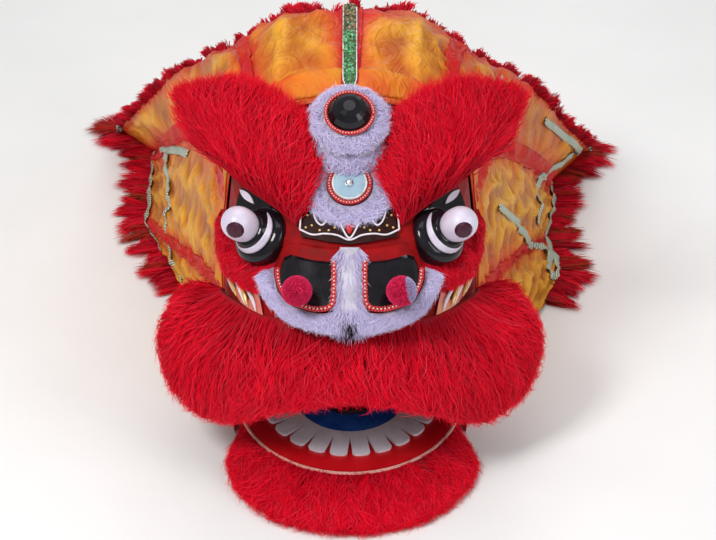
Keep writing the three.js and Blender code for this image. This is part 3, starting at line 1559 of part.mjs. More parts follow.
const lipFur = carved(
  moustache(),
  envelope,
  noseForm(2 * SEAT_GAP),
  noseRidgeFur(2),
  nostrilFur(1, SEAT_GAP),
  nostrilFur(-1, SEAT_GAP),
  capeKeepOut(),
);
addPiece(head, "moustache", lipFur, FURS);

addPiece(jaw, "jaw_plate", jawPlate(), { color: RED, roughness: 0.35, metalness: 0 });
addPiece(jaw, "jaw_piping", jawPiping(), { color: "#e6a39a", roughness: 0.6, metalness: 0 });
addPiece(jaw, "jaw_teeth", jawTeeth(), WHITE_PAINT);
addPiece(jaw, "jaw_gum", jawGum(), { color: "#1656c4", roughness: 0.5, metalness: 0 });
addPiece(jaw, "tongue", tongue(), { color: "#16060a", roughness: 0.4, metalness: 0 });
addPiece(jaw, "beard", beard(), FURS);

const GOLD_SATIN = { color: "#e8a33c", roughness: 0.4, metalness: 0 };
addPiece(cape, "cape_cloth", carved(capeSheet(0, CAPE_THICKNESS), envelope), GOLD_SATIN);
addPiece(cape, "cape_trim", carved(capeTrim(), envelope), { color: "#c4161f", roughness: 0.5, metalness: 0 });
addPiece(cape, "cape_braid", capeBraid(), SILVER);
addPiece(cape, "cape_fringe", capeFringe(), FURS);
addPiece(cape, "crest", carved(crest(), hornFurLower(SEAT_GAP), hornCore(SEAT_GAP)), {
  color: "#3f9a5a",
  roughness: 0.4,
  metalness: 0.3,
});

// The origin is the middle of the whole object's underside
const lion = new THREE.Group();
lion.add(head, jaw, cape);
const bounds = new THREE.Box3().setFromObject(lion);
const centre = bounds.getCenter(new THREE.Vector3());
lion.position.set(-centre.x, -centre.y, -bounds.min.z);

export default lion;
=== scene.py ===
import json
import math

import bpy
import numpy as np
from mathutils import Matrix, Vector

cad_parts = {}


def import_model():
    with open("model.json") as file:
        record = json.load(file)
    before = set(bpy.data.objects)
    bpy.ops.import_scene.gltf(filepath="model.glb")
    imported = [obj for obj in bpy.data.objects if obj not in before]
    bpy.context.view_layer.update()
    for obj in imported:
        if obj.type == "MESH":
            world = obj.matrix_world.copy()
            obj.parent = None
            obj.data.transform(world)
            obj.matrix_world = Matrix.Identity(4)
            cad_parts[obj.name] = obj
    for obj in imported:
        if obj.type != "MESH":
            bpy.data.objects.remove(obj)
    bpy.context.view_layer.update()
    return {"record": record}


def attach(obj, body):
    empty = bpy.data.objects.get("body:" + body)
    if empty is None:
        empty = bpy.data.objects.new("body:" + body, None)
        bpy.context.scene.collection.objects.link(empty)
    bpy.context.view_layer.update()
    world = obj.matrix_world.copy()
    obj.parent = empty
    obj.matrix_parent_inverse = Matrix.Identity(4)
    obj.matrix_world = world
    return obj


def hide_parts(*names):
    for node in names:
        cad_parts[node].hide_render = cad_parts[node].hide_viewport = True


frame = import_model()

# The head's own origin in the row's frame. Sizes and places below are in millimetres from it.
HINGE = frame["record"]["behaviour"]["joints"][0]["pos_m"]
HINGE_Y = -110
HINGE_HEIGHT = 52
MM = 0.001
ORIGIN = np.array([HINGE[0], HINGE[1] - HINGE_Y * MM, 0.0])
SIDES = ((-1, "left"), (1, "right"))


def world(points):
    return np.asarray(points, float) * MM + ORIGIN


# Camera

CAMERA_TARGET = (13, -130, 307)
CAMERA_ELEVATION = math.radians(33)
CAMERA_DISTANCE = 3400
CAMERA_LENS = 106.8
CAMERA_SENSOR = 36
CAMERA_CLIP_M = 50


def add_camera():
    aim = Vector(world(CAMERA_TARGET))
    back = Vector((0, -math.cos(CAMERA_ELEVATION), math.sin(CAMERA_ELEVATION)))
    data = bpy.data.cameras.new("camera")
    data.lens = CAMERA_LENS
    data.sensor_width = CAMERA_SENSOR
    data.clip_end = CAMERA_CLIP_M
    camera = bpy.data.objects.new("camera", data)
    camera.location = aim + back * CAMERA_DISTANCE * MM
    camera.rotation_euler = (math.pi / 2 - CAMERA_ELEVATION, 0, 0)
    bpy.context.collection.objects.link(camera)
    bpy.context.scene.camera = camera


add_camera()

# Head form, repeated from the solid part

HEAD_HEIGHT = 612
HEAD_HALF_LENGTH = 318
HEAD_HALF_WIDTH = 205
ROUNDNESS = 2.3
HALVINGS = 24
HEAD_SECTIONS = np.array(
    [
        (0, 0.99, 0.69, 1),
        (0.35, 0.99, 0.74, 1),
        (0.485, 1, 0.75, 1),
        (0.555, 0.943, 0.755, 0.98),
        (0.703, 0.824, 0.755, 0.93),
        (0.79, 0.585, 0.73, 0.82),
        (0.872, 0.33, 0.69, 0.69),
        (0.937, 0.063, 0.62, 0.52),
        (0.978, -0.19, 0.52, 0.33),
        (1, -0.33, 0.44, 0.14),
    ]
)


def head_sizes(z):
    share = np.asarray(z, float) / HEAD_HEIGHT
    heights = HEAD_SECTIONS[:, 0]
    front = HEAD_HALF_LENGTH * np.interp(share, heights, HEAD_SECTIONS[:, 1])
    back = HEAD_HALF_LENGTH * np.interp(share, heights, HEAD_SECTIONS[:, 2])
    width = HEAD_HALF_WIDTH * np.interp(share, heights, HEAD_SECTIONS[:, 3])
    return (back - front) / 2, (back + front) / 2, width


def in_head(x, y, z):
    middle, length, width = head_sizes(z)
    return np.abs(x / width) ** ROUNDNESS + np.abs((y - middle) / length) ** ROUNDNESS <= 1


def head_top(x, y):
    x = np.asarray(x, float)
    low = np.zeros_like(x)
    high = np.full_like(x, HEAD_HEIGHT)
    outside = ~in_head(x, y, low)
    for _ in range(HALVINGS):
        z = (low + high) / 2
        inside = in_head(x, y, z)
        low = np.where(inside, z, low)
        high = np.where(inside, high, z)
    return np.where(outside, 0, low)


def head_front(x, z):
    middle, length, width = head_sizes(z)
    share = np.clip(1 - np.abs(np.asarray(x, float) / width) ** ROUNDNESS, 0, None)
    return middle - length * share ** (1 / ROUNDNESS)


# Meshes


def mesh_object(
    name, points, faces, slot, material, node=None, body="head", tint=None, uv=None, smooth=True
):
    """A piece of the visual. node is the solid that it replaces, if any."""
    mesh = bpy.data.meshes.new(name)
    mesh.from_pydata(world(points).tolist(), [], faces)
    if tint is not None:
        layer = mesh.color_attributes.new("tint", "FLOAT_COLOR", "POINT")
        rgba = np.ones((len(points), 4), np.float32)
        rgba[:, :3] = tint
        layer.data.foreach_set("color", rgba.ravel())
    if uv is not None:
        layer = mesh.uv_layers.new(name="cloth")
        index = np.zeros(len(mesh.loops), np.int32)
        mesh.loops.foreach_get("vertex_index", index)
        layer.data.foreach_set("uv", np.asarray(uv, np.float32)[index].ravel())
    mesh.polygons.foreach_set("use_smooth", [smooth] * len(mesh.polygons))
    mesh.materials.append(material)
    piece = bpy.data.objects.new(name, mesh)
    bpy.context.collection.objects.link(piece)
    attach(piece, body)
    if node:
        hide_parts(node)
    return piece


def unit(vectors):
    vectors = np.asarray(vectors, float)
    return vectors / np.maximum(np.linalg.norm(vectors, axis=-1, keepdims=True), 1e-9)


def grid_faces(rows, columns, wrap_columns=False):
    faces = []
    for i in range(rows - 1):
        for j in range(columns if wrap_columns else columns - 1):
            a = i * columns + j
            b = i * columns + (j + 1) % columns
            c = (i + 1) * columns + (j + 1) % columns
            d = (i + 1) * columns + j
            faces.append((a, b, c, d))
    return faces


def capped_faces(rings, around):
    """Faces of rings of points, one after the other, closed at both ends."""
    last = (rings - 1) * around
    faces = grid_faces(rings, around, wrap_columns=True)
    faces.append(tuple(range(around))[::-1])
    faces.append(tuple(last + j for j in range(around)))
    return faces


def sheet_faces(rows, columns):
    """Faces of a closed thin sheet: the top grid, then the underside grid, then the rim."""
    count = rows * columns
    faces = grid_faces(rows, columns)
    faces += [tuple(i + count for i in face[::-1]) for face in faces]
    rim = list(range(columns))
    rim += [i * columns + columns - 1 for i in range(1, rows)]
    rim += [(rows - 1) * columns + j for j in range(columns - 2, -1, -1)]
    rim += [i * columns for i in range(rows - 2, 0, -1)]
    for a, b in zip(rim, rim[1:] + rim[:1]):
        faces.append((b, a, a + count, b + count))
    return faces


def spline(points, shares, closed=False):
    """A centripetal Catmull-Rom curve through points, at shares of its stretches."""
    p = np.asarray(points, float)
    count = len(p)
    place = np.asarray(shares) * (count if closed else count - 1)
    index = np.minimum(np.floor(place).astype(int), count - 1 if closed else count - 2)
    weight = (place - index)[:, None]
    if closed:
        quad = [p[(index + k) % count] for k in (-1, 0, 1, 2)]
    else:
        longer = np.vstack([2 * p[0] - p[1], p, 2 * p[-1] - p[-2]])
        quad = [longer[index + k] for k in (0, 1, 2, 3)]
    p0, p1, p2, p3 = quad
    d = [np.sqrt(np.linalg.norm(b - a, axis=1, keepdims=True)) for a, b in zip(quad, quad[1:])]
    d1 = np.where(d[1] < 1e-4, 1, d[1])
    d0 = np.where(d[0] < 1e-4, d1, d[0])
    d2 = np.where(d[2] < 1e-4, d1, d[2])
    t1 = ((p1 - p0) / d0 - (p2 - p0) / (d0 + d1) + (p2 - p1) / d1) * d1
    t2 = ((p2 - p1) / d1 - (p3 - p1) / (d1 + d2) + (p3 - p2) / d2) * d1
    c2 = -3 * p1 + 3 * p2 - 2 * t1 - t2
    c3 = 2 * p1 - 2 * p2 + t1 + t2
    return p1 + t1 * weight + c2 * weight**2 + c3 * weight**3


def tube_mesh(path, radius, sides=8, flat=1.0, up=(0, 0, 1)):
    """Points and faces of a tube along a path, closed at both ends. flat squeezes it across up."""
    path = np.asarray(path, float)
    tangent = unit(np.gradient(path, axis=0))
    side = unit(np.cross(tangent, np.broadcast_to(up, path.shape)))
    over = np.cross(side, tangent)
    radius = np.broadcast_to(radius, len(path))
    points = []
    for j in range(sides):
        turn = 2 * math.pi * j / sides
        out = side * (radius * math.cos(turn))[:, None]
        points.append(path + out + over * (radius * flat * math.sin(turn))[:, None])
    points = np.stack(points, 1).reshape(-1, 3)
    return points, capped_faces(len(path), sides)


def path_lengths(path):
    """How far each point lies along a path."""
    return np.concatenate([[0], np.cumsum(np.linalg.norm(np.diff(path, axis=0), axis=1))])


def along_path(path, lengths, places):
    return np.stack([np.interp(places, lengths, path[:, k]) for k in range(3)], 1)


def joined(parts):
    points, faces, base = [], [], 0
    for more_points, more_faces in parts:
        points.append(more_points)
        faces += [tuple(i + base for i in face) for face in more_faces]
        base += len(more_points)
    return np.vstack(points), faces


def ball_mesh(centre, radius, around=8, rings=6, squash=1.0, axis=(0, 0, 1)):
    axis = unit(axis)
    side = unit(np.cross(axis, (0.3, 0.9, 0.2)))
    other = np.cross(axis, side)
    points = [np.asarray(centre) - axis * radius * squash]
    for i in range(1, rings):
        tilt = math.pi * i / rings
        for j in range(around):
            turn = 2 * math.pi * j / around
            points.append(
                centre
                + radius * math.sin(tilt) * (math.cos(turn) * side + math.sin(turn) * other)
                - axis * radius * squash * math.cos(tilt)
            )
    points.append(np.asarray(centre) + axis * radius * squash)
    faces = [(0, 1 + (j + 1) % around, 1 + j) for j in range(around)]
    for i in range(rings - 2):
        a = 1 + i * around
        b = a + around
        for j in range(around):
            k = (j + 1) % around
            faces.append((a + j, a + k, b + k, b + j))
    top = len(points) - 1
    a = 1 + (rings - 2) * around
    faces += [(a + j, a + (j + 1) % around, top) for j in range(around)]
    return np.array(points), faces


# Materials


def new_material(name):
    material = bpy.data.materials.new(name)
    material.use_nodes = True
    nodes = material.node_tree.nodes
    return material, nodes, material.node_tree.links, nodes["Principled BSDF"]


def coordinates(nodes, kind="Object"):
    return nodes.new("ShaderNodeTexCoord").outputs[kind]


def noise(nodes, links, vector, scale, detail=4, rough=0.55, distortion=0.0):
    node = nodes.new("ShaderNodeTexNoise")
    links.new(vector, node.inputs["Vector"])
    node.inputs["Scale"].default_value = scale
    node.inputs["Detail"].default_value = detail
    node.inputs["Roughness"].default_value = rough
    node.inputs["Distortion"].default_value = distortion
    return node.outputs["Fac"]


def ramp(nodes, links, value, *stops):
    node = nodes.new("ShaderNodeValToRGB")
    links.new(value, node.inputs["Fac"])
    elements = node.color_ramp.elements
    while len(elements) < len(stops):
        elements.new(0.5)
    for element, (place, colour) in zip(elements, stops):
        element.position = place
        element.color = (*colour, 1)
    return node.outputs["Color"]


def bumped(nodes, links, height, shader, strength, distance=0.001):
    node = nodes.new("ShaderNodeBump")
    node.inputs["Strength"].default_value = strength
    node.inputs["Distance"].default_value = distance
    links.new(height, node.inputs["Height"])
    links.new(node.outputs["Normal"], shader.inputs["Normal"])
    return node


def computed(nodes, links, operation, *values):
    """A maths node over outputs of other nodes and plain numbers."""
    node = nodes.new("ShaderNodeMath")
    node.operation = operation
    for socket, value in zip(node.inputs, values):
        if isinstance(value, (int, float)):
            socket.default_value = value
        else:
            links.new(value, socket)
    return node.outputs[0]


def diagonal_bands(nodes, links, vector, scale, distortion):
    node = nodes.new("ShaderNodeTexWave")
    node.bands_direction = "DIAGONAL"
    node.inputs["Scale"].default_value = scale
    node.inputs["Distortion"].default_value = distortion
    links.new(vector, node.inputs["Vector"])
    return node.outputs["Fac"]


def mesh_tint(nodes):
    node = nodes.new("ShaderNodeAttribute")
    node.attribute_name = "tint"
    return node.outputs["Color"]


def ranged(nodes, links, value, low, high):
    node = nodes.new("ShaderNodeMapRange")
    links.new(value, node.inputs["Value"])
    node.inputs["From Min"].default_value = 0.3
    node.inputs["From Max"].default_value = 0.7
    node.inputs["To Min"].default_value = low
    node.inputs["To Max"].default_value = high
    return node.outputs["Result"]


def multiplied(nodes, links, a, b):
    node = nodes.new("ShaderNodeMix")
    node.data_type = "RGBA"
    node.blend_type = "MULTIPLY"
    node.inputs["Factor"].default_value = 1
    links.new(a, node.inputs["A"])
    links.new(b, node.inputs["B"])
    return node.outputs["Result"]


def plain(name, dark, light, rough, scale=30, grain=400, strength=0.15, metal=0, coat=0, shine=0.5):
    """A finish whose colour drifts between two tones, with a fine grain."""
    material, nodes, links, shader = new_material(name)
    place = coordinates(nodes)
    drift = noise(nodes, links, place, scale)
    links.new(ramp(nodes, links, drift, (0.35, dark), (0.65, light)), shader.inputs["Base Color"])
    links.new(ranged(nodes, links, drift, rough * 0.85, rough * 1.2), shader.inputs["Roughness"])
    bumped(nodes, links, noise(nodes, links, place, grain, detail=3), shader, strength, 0.0006)
    shader.inputs["Metallic"].default_value = metal
    shader.inputs["Coat Weight"].default_value = coat
    shader.inputs["Coat Roughness"].default_value = 0.06
    shader.inputs["Specular IOR Level"].default_value = shine
    return material


def tinted(name, rough, low=0.85, shine=0.35, coat=0):
    """A finish that takes its colour from the mesh, with a little drift."""
    material, nodes, links, shader = new_material(name)
    place = coordinates(nodes)
    tint = mesh_tint(nodes)
    drift = noise(nodes, links, place, 60)
    shade = ramp(nodes, links, drift, (0.3, (low, low, low)), (0.7, (1, 1, 1)))
    links.new(multiplied(nodes, links, tint, shade), shader.inputs["Base Color"])
    links.new(ranged(nodes, links, drift, rough * 0.9, rough * 1.15), shader.inputs["Roughness"])
    bumped(nodes, links, noise(nodes, links, place, 500, detail=2), shader, 0.1, 0.0005)
    shader.inputs["Specular IOR Level"].default_value = shine
    shader.inputs["Coat Weight"].default_value = coat
    return material


RED_HAIR = np.array((0.84, 0.003, 0.022))
GAP_SHADE_HAIR = np.array((0.03, 0.02, 0.035))
WHITE_HAIR = np.array((0.74, 0.67, 0.98))
hair_finish = tinted("hair_red", 0.62, shine=0.06)
white_finish = tinted("hair_white", 0.6, low=0.94, shine=0.2)
red_lacquer = plain("red_lacquer", (0.2, 0.002, 0.003), (0.34, 0.004, 0.006), 0.62, coat=0.03, shine=0.12)
black_gloss = plain(
    "black_gloss", (0.004, 0.004, 0.006), (0.012, 0.01, 0.014), 0.1, coat=0.12, strength=0.05, shine=0.25
)
white_paint = plain("white_paint", (0.66, 0.6, 0.72), (0.78, 0.72, 0.84), 0.42, scale=45, strength=0.2)
eye_white = plain(
    "eye_white", (0.62, 0.56, 0.7), (0.74, 0.68, 0.82), 0.35, scale=45, strength=0.05, coat=0.15
)
pupil_paint = plain(
    "pupil_paint", (0.03, 0.002, 0.012), (0.075, 0.006, 0.026), 0.25, scale=900, coat=0.12, shine=0.3
)
bead_glass = plain("bead_glass", (0.55, 0.012, 0.012), (0.74, 0.03, 0.022), 0.16, scale=300, coat=0.8)
seed_pearl = plain("seed_pearl", (0.8, 0.5, 0.52), (0.92, 0.72, 0.72), 0.25, scale=600, coat=0.4)
bead_band = plain(
    "bead_band", (0.45, 0.006, 0.012), (0.6, 0.012, 0.02), 0.6, scale=200, grain=1500, strength=0.5
)
silver = plain("silver_trim", (0.62, 0.65, 0.66), (0.85, 0.87, 0.88), 0.24, metal=0.9, scale=80)
mirror_glass = plain(
    "mirror_glass", (0.3, 0.46, 0.6), (0.46, 0.64, 0.76), 0.14, metal=0.35, scale=14, coat=0.6
)
forehead = plain(
    "forehead_lacquer", (0.012, 0.002, 0.002), (0.035, 0.006, 0.005), 0.5, scale=90, shine=0.15
)
white_cord = plain(
    "white_cord", (0.7, 0.64, 0.72), (0.86, 0.8, 0.86), 0.5, scale=120, grain=1500, strength=0.5
)
gold_paint = plain("gold_paint", (0.72, 0.42, 0.12), (0.9, 0.62, 0.25), 0.35, scale=160, metal=0.4)
flame_paint = plain("flame_paint", (0.72, 0.3, 0.12), (0.66, 0.12, 0.12), 0.35, scale=22, coat=0.3)
jaw_board = plain(
    "jaw_board", (0.5, 0.004, 0.008), (0.64, 0.008, 0.014), 0.34, scale=14, coat=0.1, shine=0.3
)
piping_finish = plain(
    "piping", (0.72, 0.32, 0.28), (0.82, 0.46, 0.4), 0.5, scale=60, grain=900, strength=0.3
)
gum_blue = plain("gum_blue", (0.012, 0.09, 0.5), (0.03, 0.16, 0.62), 0.45, scale=40)
tongue_black = plain("tongue_black", (0.01, 0.003, 0.005), (0.03, 0.008, 0.012), 0.35, scale=60, coat=0.4)
teeth_finish = plain(
    "teeth_white", (0.74, 0.7, 0.78), (0.88, 0.84, 0.9), 0.5, scale=40, grain=900, strength=0.2
)
# Painted shade: the undercoats under the strands are darker than the hair, for the shade deep in the fur.
undercoat_shade_red = plain("undercoat_shade_red", (0.3, 0.001, 0.007), (0.44, 0.002, 0.012), 0.95, scale=60)
undercoat_shade_white = plain("undercoat_shade_white", (0.45, 0.43, 0.52), (0.62, 0.6, 0.7), 0.9, scale=60)


SMOOTH_ANGLE = math.radians(48)


def smooth_node(name, material):
    node = bpy.data.objects[name]
    node.data.materials.clear()
    node.data.materials.append(material)
    node.data.polygons.foreach_set("use_smooth", [True] * len(node.data.polygons))
    node.data.set_sharp_from_angle(angle=SMOOTH_ANGLE)


# Furs


NEAR_ONE = 0.999999
FORM_STEPS = 160
COAT_COLUMNS = 80
COAT_FILL = 0.55
ROOT_RISE = 0.5
LOCK_SWAY = 22
HAIR_FLOOR = 0.4
HAIR_TAPER = 0.72
FACING_DRIFT = 0.35


def fur_form(root, tip, out, depth, under, closed=False):
    """Lines of a fur's roots and tips, the way it stands out, and its depth above and below."""
    shares = np.linspace(0, 1, FORM_STEPS + 1)
    if closed:
        depth = list(depth) + [depth[0]]
    return {
        "root": spline(root, shares * NEAR_ONE, closed),
        "tip": spline(tip, shares * NEAR_ONE, closed),
        "out": unit(spline(out, shares * NEAR_ONE, closed)),
        "depth": np.interp(shares * (len(depth) - 1), range(len(depth)), depth),
        "under": under,
        "closed": closed,
    }


def rows_at(table, share, form):
    share = share % 1.0 if form["closed"] else np.clip(share, 0, 1)
    place = share * FORM_STEPS
    index = np.minimum(place.astype(int), FORM_STEPS - 1)
    weight = place - index
    if table.ndim == 2:
        weight = weight[:, None]
    return table[index] * (1 - weight) + table[index + 1] * weight


def form_points(form, share, along, height):
    """height runs from -1, the form's underside, to 1, its top."""
    root = rows_at(form["root"], share, form)
    tip = rows_at(form["tip"], share, form)
    out = rows_at(form["out"], share, form)
    depth = rows_at(form["depth"], share, form)
    profile = np.interp(along, [0, 0.28, 0.72, 1, 1.3], [0.3, 1, 0.74, 0.12, 0])
    lift = np.where(height > 0, depth, form["under"]) * height * profile
    return root + (tip - root) * along[:, None] + out * lift[:, None]


def undercoat(name, form, slot, material, node, body, reach):
    shares = np.linspace(0, 1, COAT_COLUMNS + 1)
    section = [(along, COAT_FILL) for along in (0, 0.14, 0.28, 0.5, 0.72, 0.88, 1)]
    section += [(along, -COAT_FILL) for along in (1, 0.72, 0.4, 0.14, 0)]
    rings = []
    for along, height in section:
        full = np.ones(COAT_COLUMNS + 1)
        rings.append(form_points(form, shares, full * (along * reach), full * height))
    points = np.stack(rings, 1).reshape(-1, 3)
    points[:, 2] = np.maximum(points[:, 2], HAIR_FLOOR)
    if form["closed"]:
        faces = grid_faces(COAT_COLUMNS + 1, len(section), wrap_columns=True)
    else:
        faces = capped_faces(COAT_COLUMNS + 1, len(section))
    return mesh_object(name, points, faces, slot, material, node, body)


STATION_SHARES = (0, 0.38, 0.72, 1)
ROOT_SHADE_SHARES = (0.6, 0.82, 1.0, 1.08)
SHORT = (0, 2, 3)


def hair(name, stations, width, colour, facing, rng, slot, material, node, body="head"):
    """Flat tapered strands. stations holds each one's points, facing the way its flat side looks."""
    count, length = stations.shape[:2]
    last = length - 1
    tangent = unit(np.gradient(stations, axis=1))
    facing = facing[:, None, :] + rng.normal(0, FACING_DRIFT, (count, 1, 3))
    side = unit(np.cross(tangent, facing))[:, :last]
    half = 0.5 * width[:, None, None] * np.linspace(1, HAIR_TAPER, last)[None, :, None]
    points = np.empty((count, 2 * last + 1, 3))
    points[:, 0:-1:2] = stations[:, :last] - side * half
    points[:, 1::2] = stations[:, :last] + side * half
    points[:, -1] = stations[:, last]
    points[:, :, 2] = np.maximum(points[:, :, 2], HAIR_FLOOR)
    # Painted shade: each strand is darkest at the root, deep in the fur, and lightest at the tip.
    tone = np.interp(np.linspace(0, 1, length), STATION_SHARES, ROOT_SHADE_SHARES)
    tone = np.repeat(tone, 2)[: 2 * last + 1]
    tint = colour[:, None, :] * tone[None, :, None]
    base = np.arange(count)[:, None] * (2 * last + 1)
    faces = []
    for k in range(last - 1):
        faces += (base + np.array((0, 1, 3, 2)) + 2 * k).tolist()
    faces += (base + np.array((0, 1, 2)) + 2 * (last - 1)).tolist()
    tint = np.clip(tint.reshape(-1, 3), 0, 1)
    return mesh_object(name, points.reshape(-1, 3), faces, slot, material, node, body, tint=tint)


def fur_strands(
    form, count, rng, spread, loose, per_lock=24, lower=0.25, length=(0.35, 0.6), start=0.85, limit=1.03
):
    """Stations of strands that grow in locks from a form's root towards its tip."""
    line = np.linalg.norm(np.diff(form["root"] + form["tip"], axis=0), axis=1).sum() / 2
    across = np.linalg.norm(form["tip"] - form["root"], axis=1).mean()
    locks = count // per_lock
    lock_share = (np.arange(locks) + rng.random(locks)) / locks
    rng.shuffle(lock_share)
    lock_along = rng.random(locks) * start
    lock_length = rng.uniform(*length, locks)
    lock_sway = rng.normal(0, LOCK_SWAY / line, locks)
    lock_lift = rng.uniform(0.8, 1.08, locks)
    lock_side = np.where(rng.random(locks) < lower, -1.0, 1.0)
    lock_tone = rng.uniform(0.8, 1.12, locks)
    lock = np.repeat(np.arange(locks), per_lock)
    total = len(lock)
    offset = rng.normal(0, spread / line, total)
    share0 = lock_share[lock] + offset
    share1 = lock_share[lock] + lock_sway[lock] + 0.5 * offset
    along0 = np.clip(lock_along[lock] + rng.normal(0, spread / across, total), 0, 0.94)
    along1 = np.clip(along0 + lock_length[lock] * rng.uniform(0.8, 1.15, total), 0.1, limit)
    stations = np.empty((total, 4, 3))
    jitter = rng.normal(0, loose, (total, 3))
    for i, t in enumerate(STATION_SHARES):
        share = share0 + (share1 - share0) * t**1.4
        along = along0 + (along1 - along0) * t
        rise = ROOT_RISE + (lock_lift[lock] - ROOT_RISE) * math.sin(math.pi / 2 * t)
        wave = rng.normal(0, 0.4 * loose, (total, 3)) * (t > 0) * (t < 1)
        place = form_points(form, share, along, lock_side[lock] * rise)
        stations[:, i] = place + jitter * t**1.5 + wave
    facing = rows_at(form["out"], share0, form) * lock_side[lock][:, None]
    tone = lock_tone[lock] * rng.uniform(0.88, 1.1, total)
    return stations, facing, tone


def red_colours(tone, rng):
    pink = rng.random(len(tone)) ** 4
    colour = RED_HAIR * tone[:, None]
    colour[:, 1] += 0.03 * pink
    colour[:, 2] += 0.045 * pink
    return colour


def red_fur(name, node, form, count, seed, body="head", reach=0.9, light_gain=1.0, **how):
    rng = np.random.default_rng(seed)
    stations, facing, tone = fur_strands(form, count, rng, **how)
    width = rng.uniform(1.0, 1.7, len(tone))
    undercoat(name + "_coat", form, "red_fur", undercoat_shade_red, node, body, reach)
    # Painted light: the gain lightens a fur's strands, to make up for the shade it sits in.
    colour = red_colours(tone * light_gain, rng)
    hair(name, stations, width, colour, facing, rng, "red_fur", hair_finish, node, body)


def white_fur(name, node, form, count, seed, reach=0.9, **how):
    rng = np.random.default_rng(seed)
    stations, facing, tone = fur_strands(form, count, rng, per_lock=12, spread=3, **how)
    width = rng.uniform(0.8, 1.3, len(tone))
    stations = stations[:, SHORT]
    colour = WHITE_HAIR * np.clip(0.25 + 0.75 * tone, 0.6, 1.1)[:, None]
    undercoat(name + "_coat", form, "white_fur", undercoat_shade_white, node, "head", reach)
    hair(name, stations, width, colour, facing, rng, "white_fur", white_finish, node)


def mirrored(points, side):
    return np.asarray(points, float) * (side, 1, 1)


def brow_form(side):
    return fur_form(
        mirrored([(80, -222, 448), (112, -200, 466), (158, -160, 478), (192, -100, 480)], side),
        mirrored([(36, -130, 530), (100, -96, 596), (180, -66, 612), (266, -50, 588)], side),
        mirrored([(0.2, -0.8, 0.5), (0.35, -0.8, 0.5), (0.5, -0.7, 0.5), (0.7, -0.6, 0.4)], side),
        [30, 52, 58, 40],
        24,
    )


def cheek_form(side):
    return fur_form(
        mirrored([(100, -250, 395), (145, -215, 385), (182, -165, 385), (203, -95, 400)], side),
        mirrored([(118, -272, 338), (165, -236, 322), (200, -170, 316), (214, -95, 322)], side),
        mirrored([(0.5, -0.9, 0.1), (0.65, -0.75, 0.1), (0.85, -0.5, 0.1), (1, -0.2, 0.1)], side),
        [10, 14, 14, 8],
        24,
    )


def moustache_form():
    root = [(204, -100, 250), (203, -150, 280), (184, -195, 296), (150, -238, 304)]
    root += [(80, -292, 318), (0, -308, 326)]
    tip = [(272, -112, 258), (304, -172, 186), (276, -214, 102), (212, -252, 80)]
    tip += [(108, -322, 160), (0, -346, 196)]
    out = [(0.6, 0.05, 0.8), (0.85, -0.3, 0.5), (0.75, -0.6, 0.4), (0.55, -0.8, 0.3)]
    out += [(0.3, -0.95, 0.15), (0, -1, 0.1)]
    depth = [18, 44, 56, 56, 48, 40, 48, 56, 56, 44, 18]

    def whole(line):
        return np.vstack([line, mirrored(line[:-1], -1)[::-1]])

    return fur_form(whole(root), whole(tip), whole(out), depth, 12)


JAW_RADIUS = 180
JAW_CENTRE_Y = -130
JAW_DROOP = math.radians(4)
JAW_THICKNESS = 6


def beard_form():
    turns = np.radians([-78, -56, -28, 0, 28, 56, 78])
    reach = [184, 240, 288, 302, 290, 250, 184]
    rim = JAW_RADIUS - 12
    root = []
    tip = []
    for turn, far in zip(turns, reach):
        y = JAW_CENTRE_Y - rim * math.cos(turn)
        z = HINGE_HEIGHT - math.tan(JAW_DROOP) * (HINGE_Y - y) - JAW_THICKNESS / 2 - 3
        root.append((rim * math.sin(turn), y, z))
        tip.append((far * math.sin(turn), JAW_CENTRE_Y - far * math.cos(turn), 5))
    out = [(0, 0, 1)] * 7
    return fur_form(root, tip, out, [9, 15, 16, 16, 16, 15, 9], 4)


def make_red_furs():
    for side, name in SIDES:
        red_fur(f"brow_{name}", f"brow_fur_{name}", brow_form(side), 16500, 11 + side, spread=9, loose=9)
        how = dict(spread=4, loose=2, lower=0.02, length=(0.25, 0.45), start=0.4, limit=0.74, reach=0.62)
        red_fur(f"cheek_{name}", f"cheek_fur_{name}", cheek_form(side), 4600, 21 + side, **how)
    # Painted light: the moustache and the chin get lighter strands than the brows and cheeks.
    how = dict(spread=10, loose=6, lower=0.2, limit=0.9, light_gain=1.08)
    red_fur("lip_fur", "moustache", moustache_form(), 32000, 31, **how)
    how = dict(spread=7, loose=5, lower=0.15, length=(0.3, 0.6), limit=0.97, light_gain=1.22)
    red_fur("chin_fur", "beard", beard_form(), 17500, 41, "jaw", **how)


make_red_furs()


# Round white furs of the mirror and the horn

MIRROR_TILT = math.radians(52)
MIRROR_AXIS = np.array((0, -math.cos(MIRROR_TILT), math.sin(MIRROR_TILT)))
MIRROR_ORIGIN = np.array((0, float(head_front(0, 490)), 490))
HORN_TILT = math.radians(60)
HORN_AXIS = np.array((0, -math.cos(HORN_TILT), math.sin(HORN_TILT)))
HORN_ORIGIN = np.array((0, -102, float(head_top(0, -102))))
HORN_HEIGHT = 72


def placed(points, origin, axis, tip=(1, 0, 0)):
    z = unit(axis)
    tip = np.asarray(tip, float)
    x = unit(tip - z * tip.dot(z))
    y = np.cross(z, x)
    points = np.asarray(points, float)
    return np.asarray(origin) + points[:, :1] * x + points[:, 1:2] * y + points[:, 2:3] * z


def ring_form(inner, outer, root_height, tip_height, depth, under, origin, axis):
    turns = 2 * math.pi * np.arange(16) / 16
    circle = np.stack([np.cos(turns), np.sin(turns), np.zeros(16)], 1)
    out = np.stack([0.5 * np.cos(turns), 0.5 * np.sin(turns), np.ones(16)], 1)
    return fur_form(
        placed(circle * inner + (0, 0, root_height), origin, axis),
        placed(circle * outer + (0, 0, tip_height), origin, axis),
        placed(out, (0, 0, 0), axis),
        [depth, depth],
        under,
        closed=True,
    )


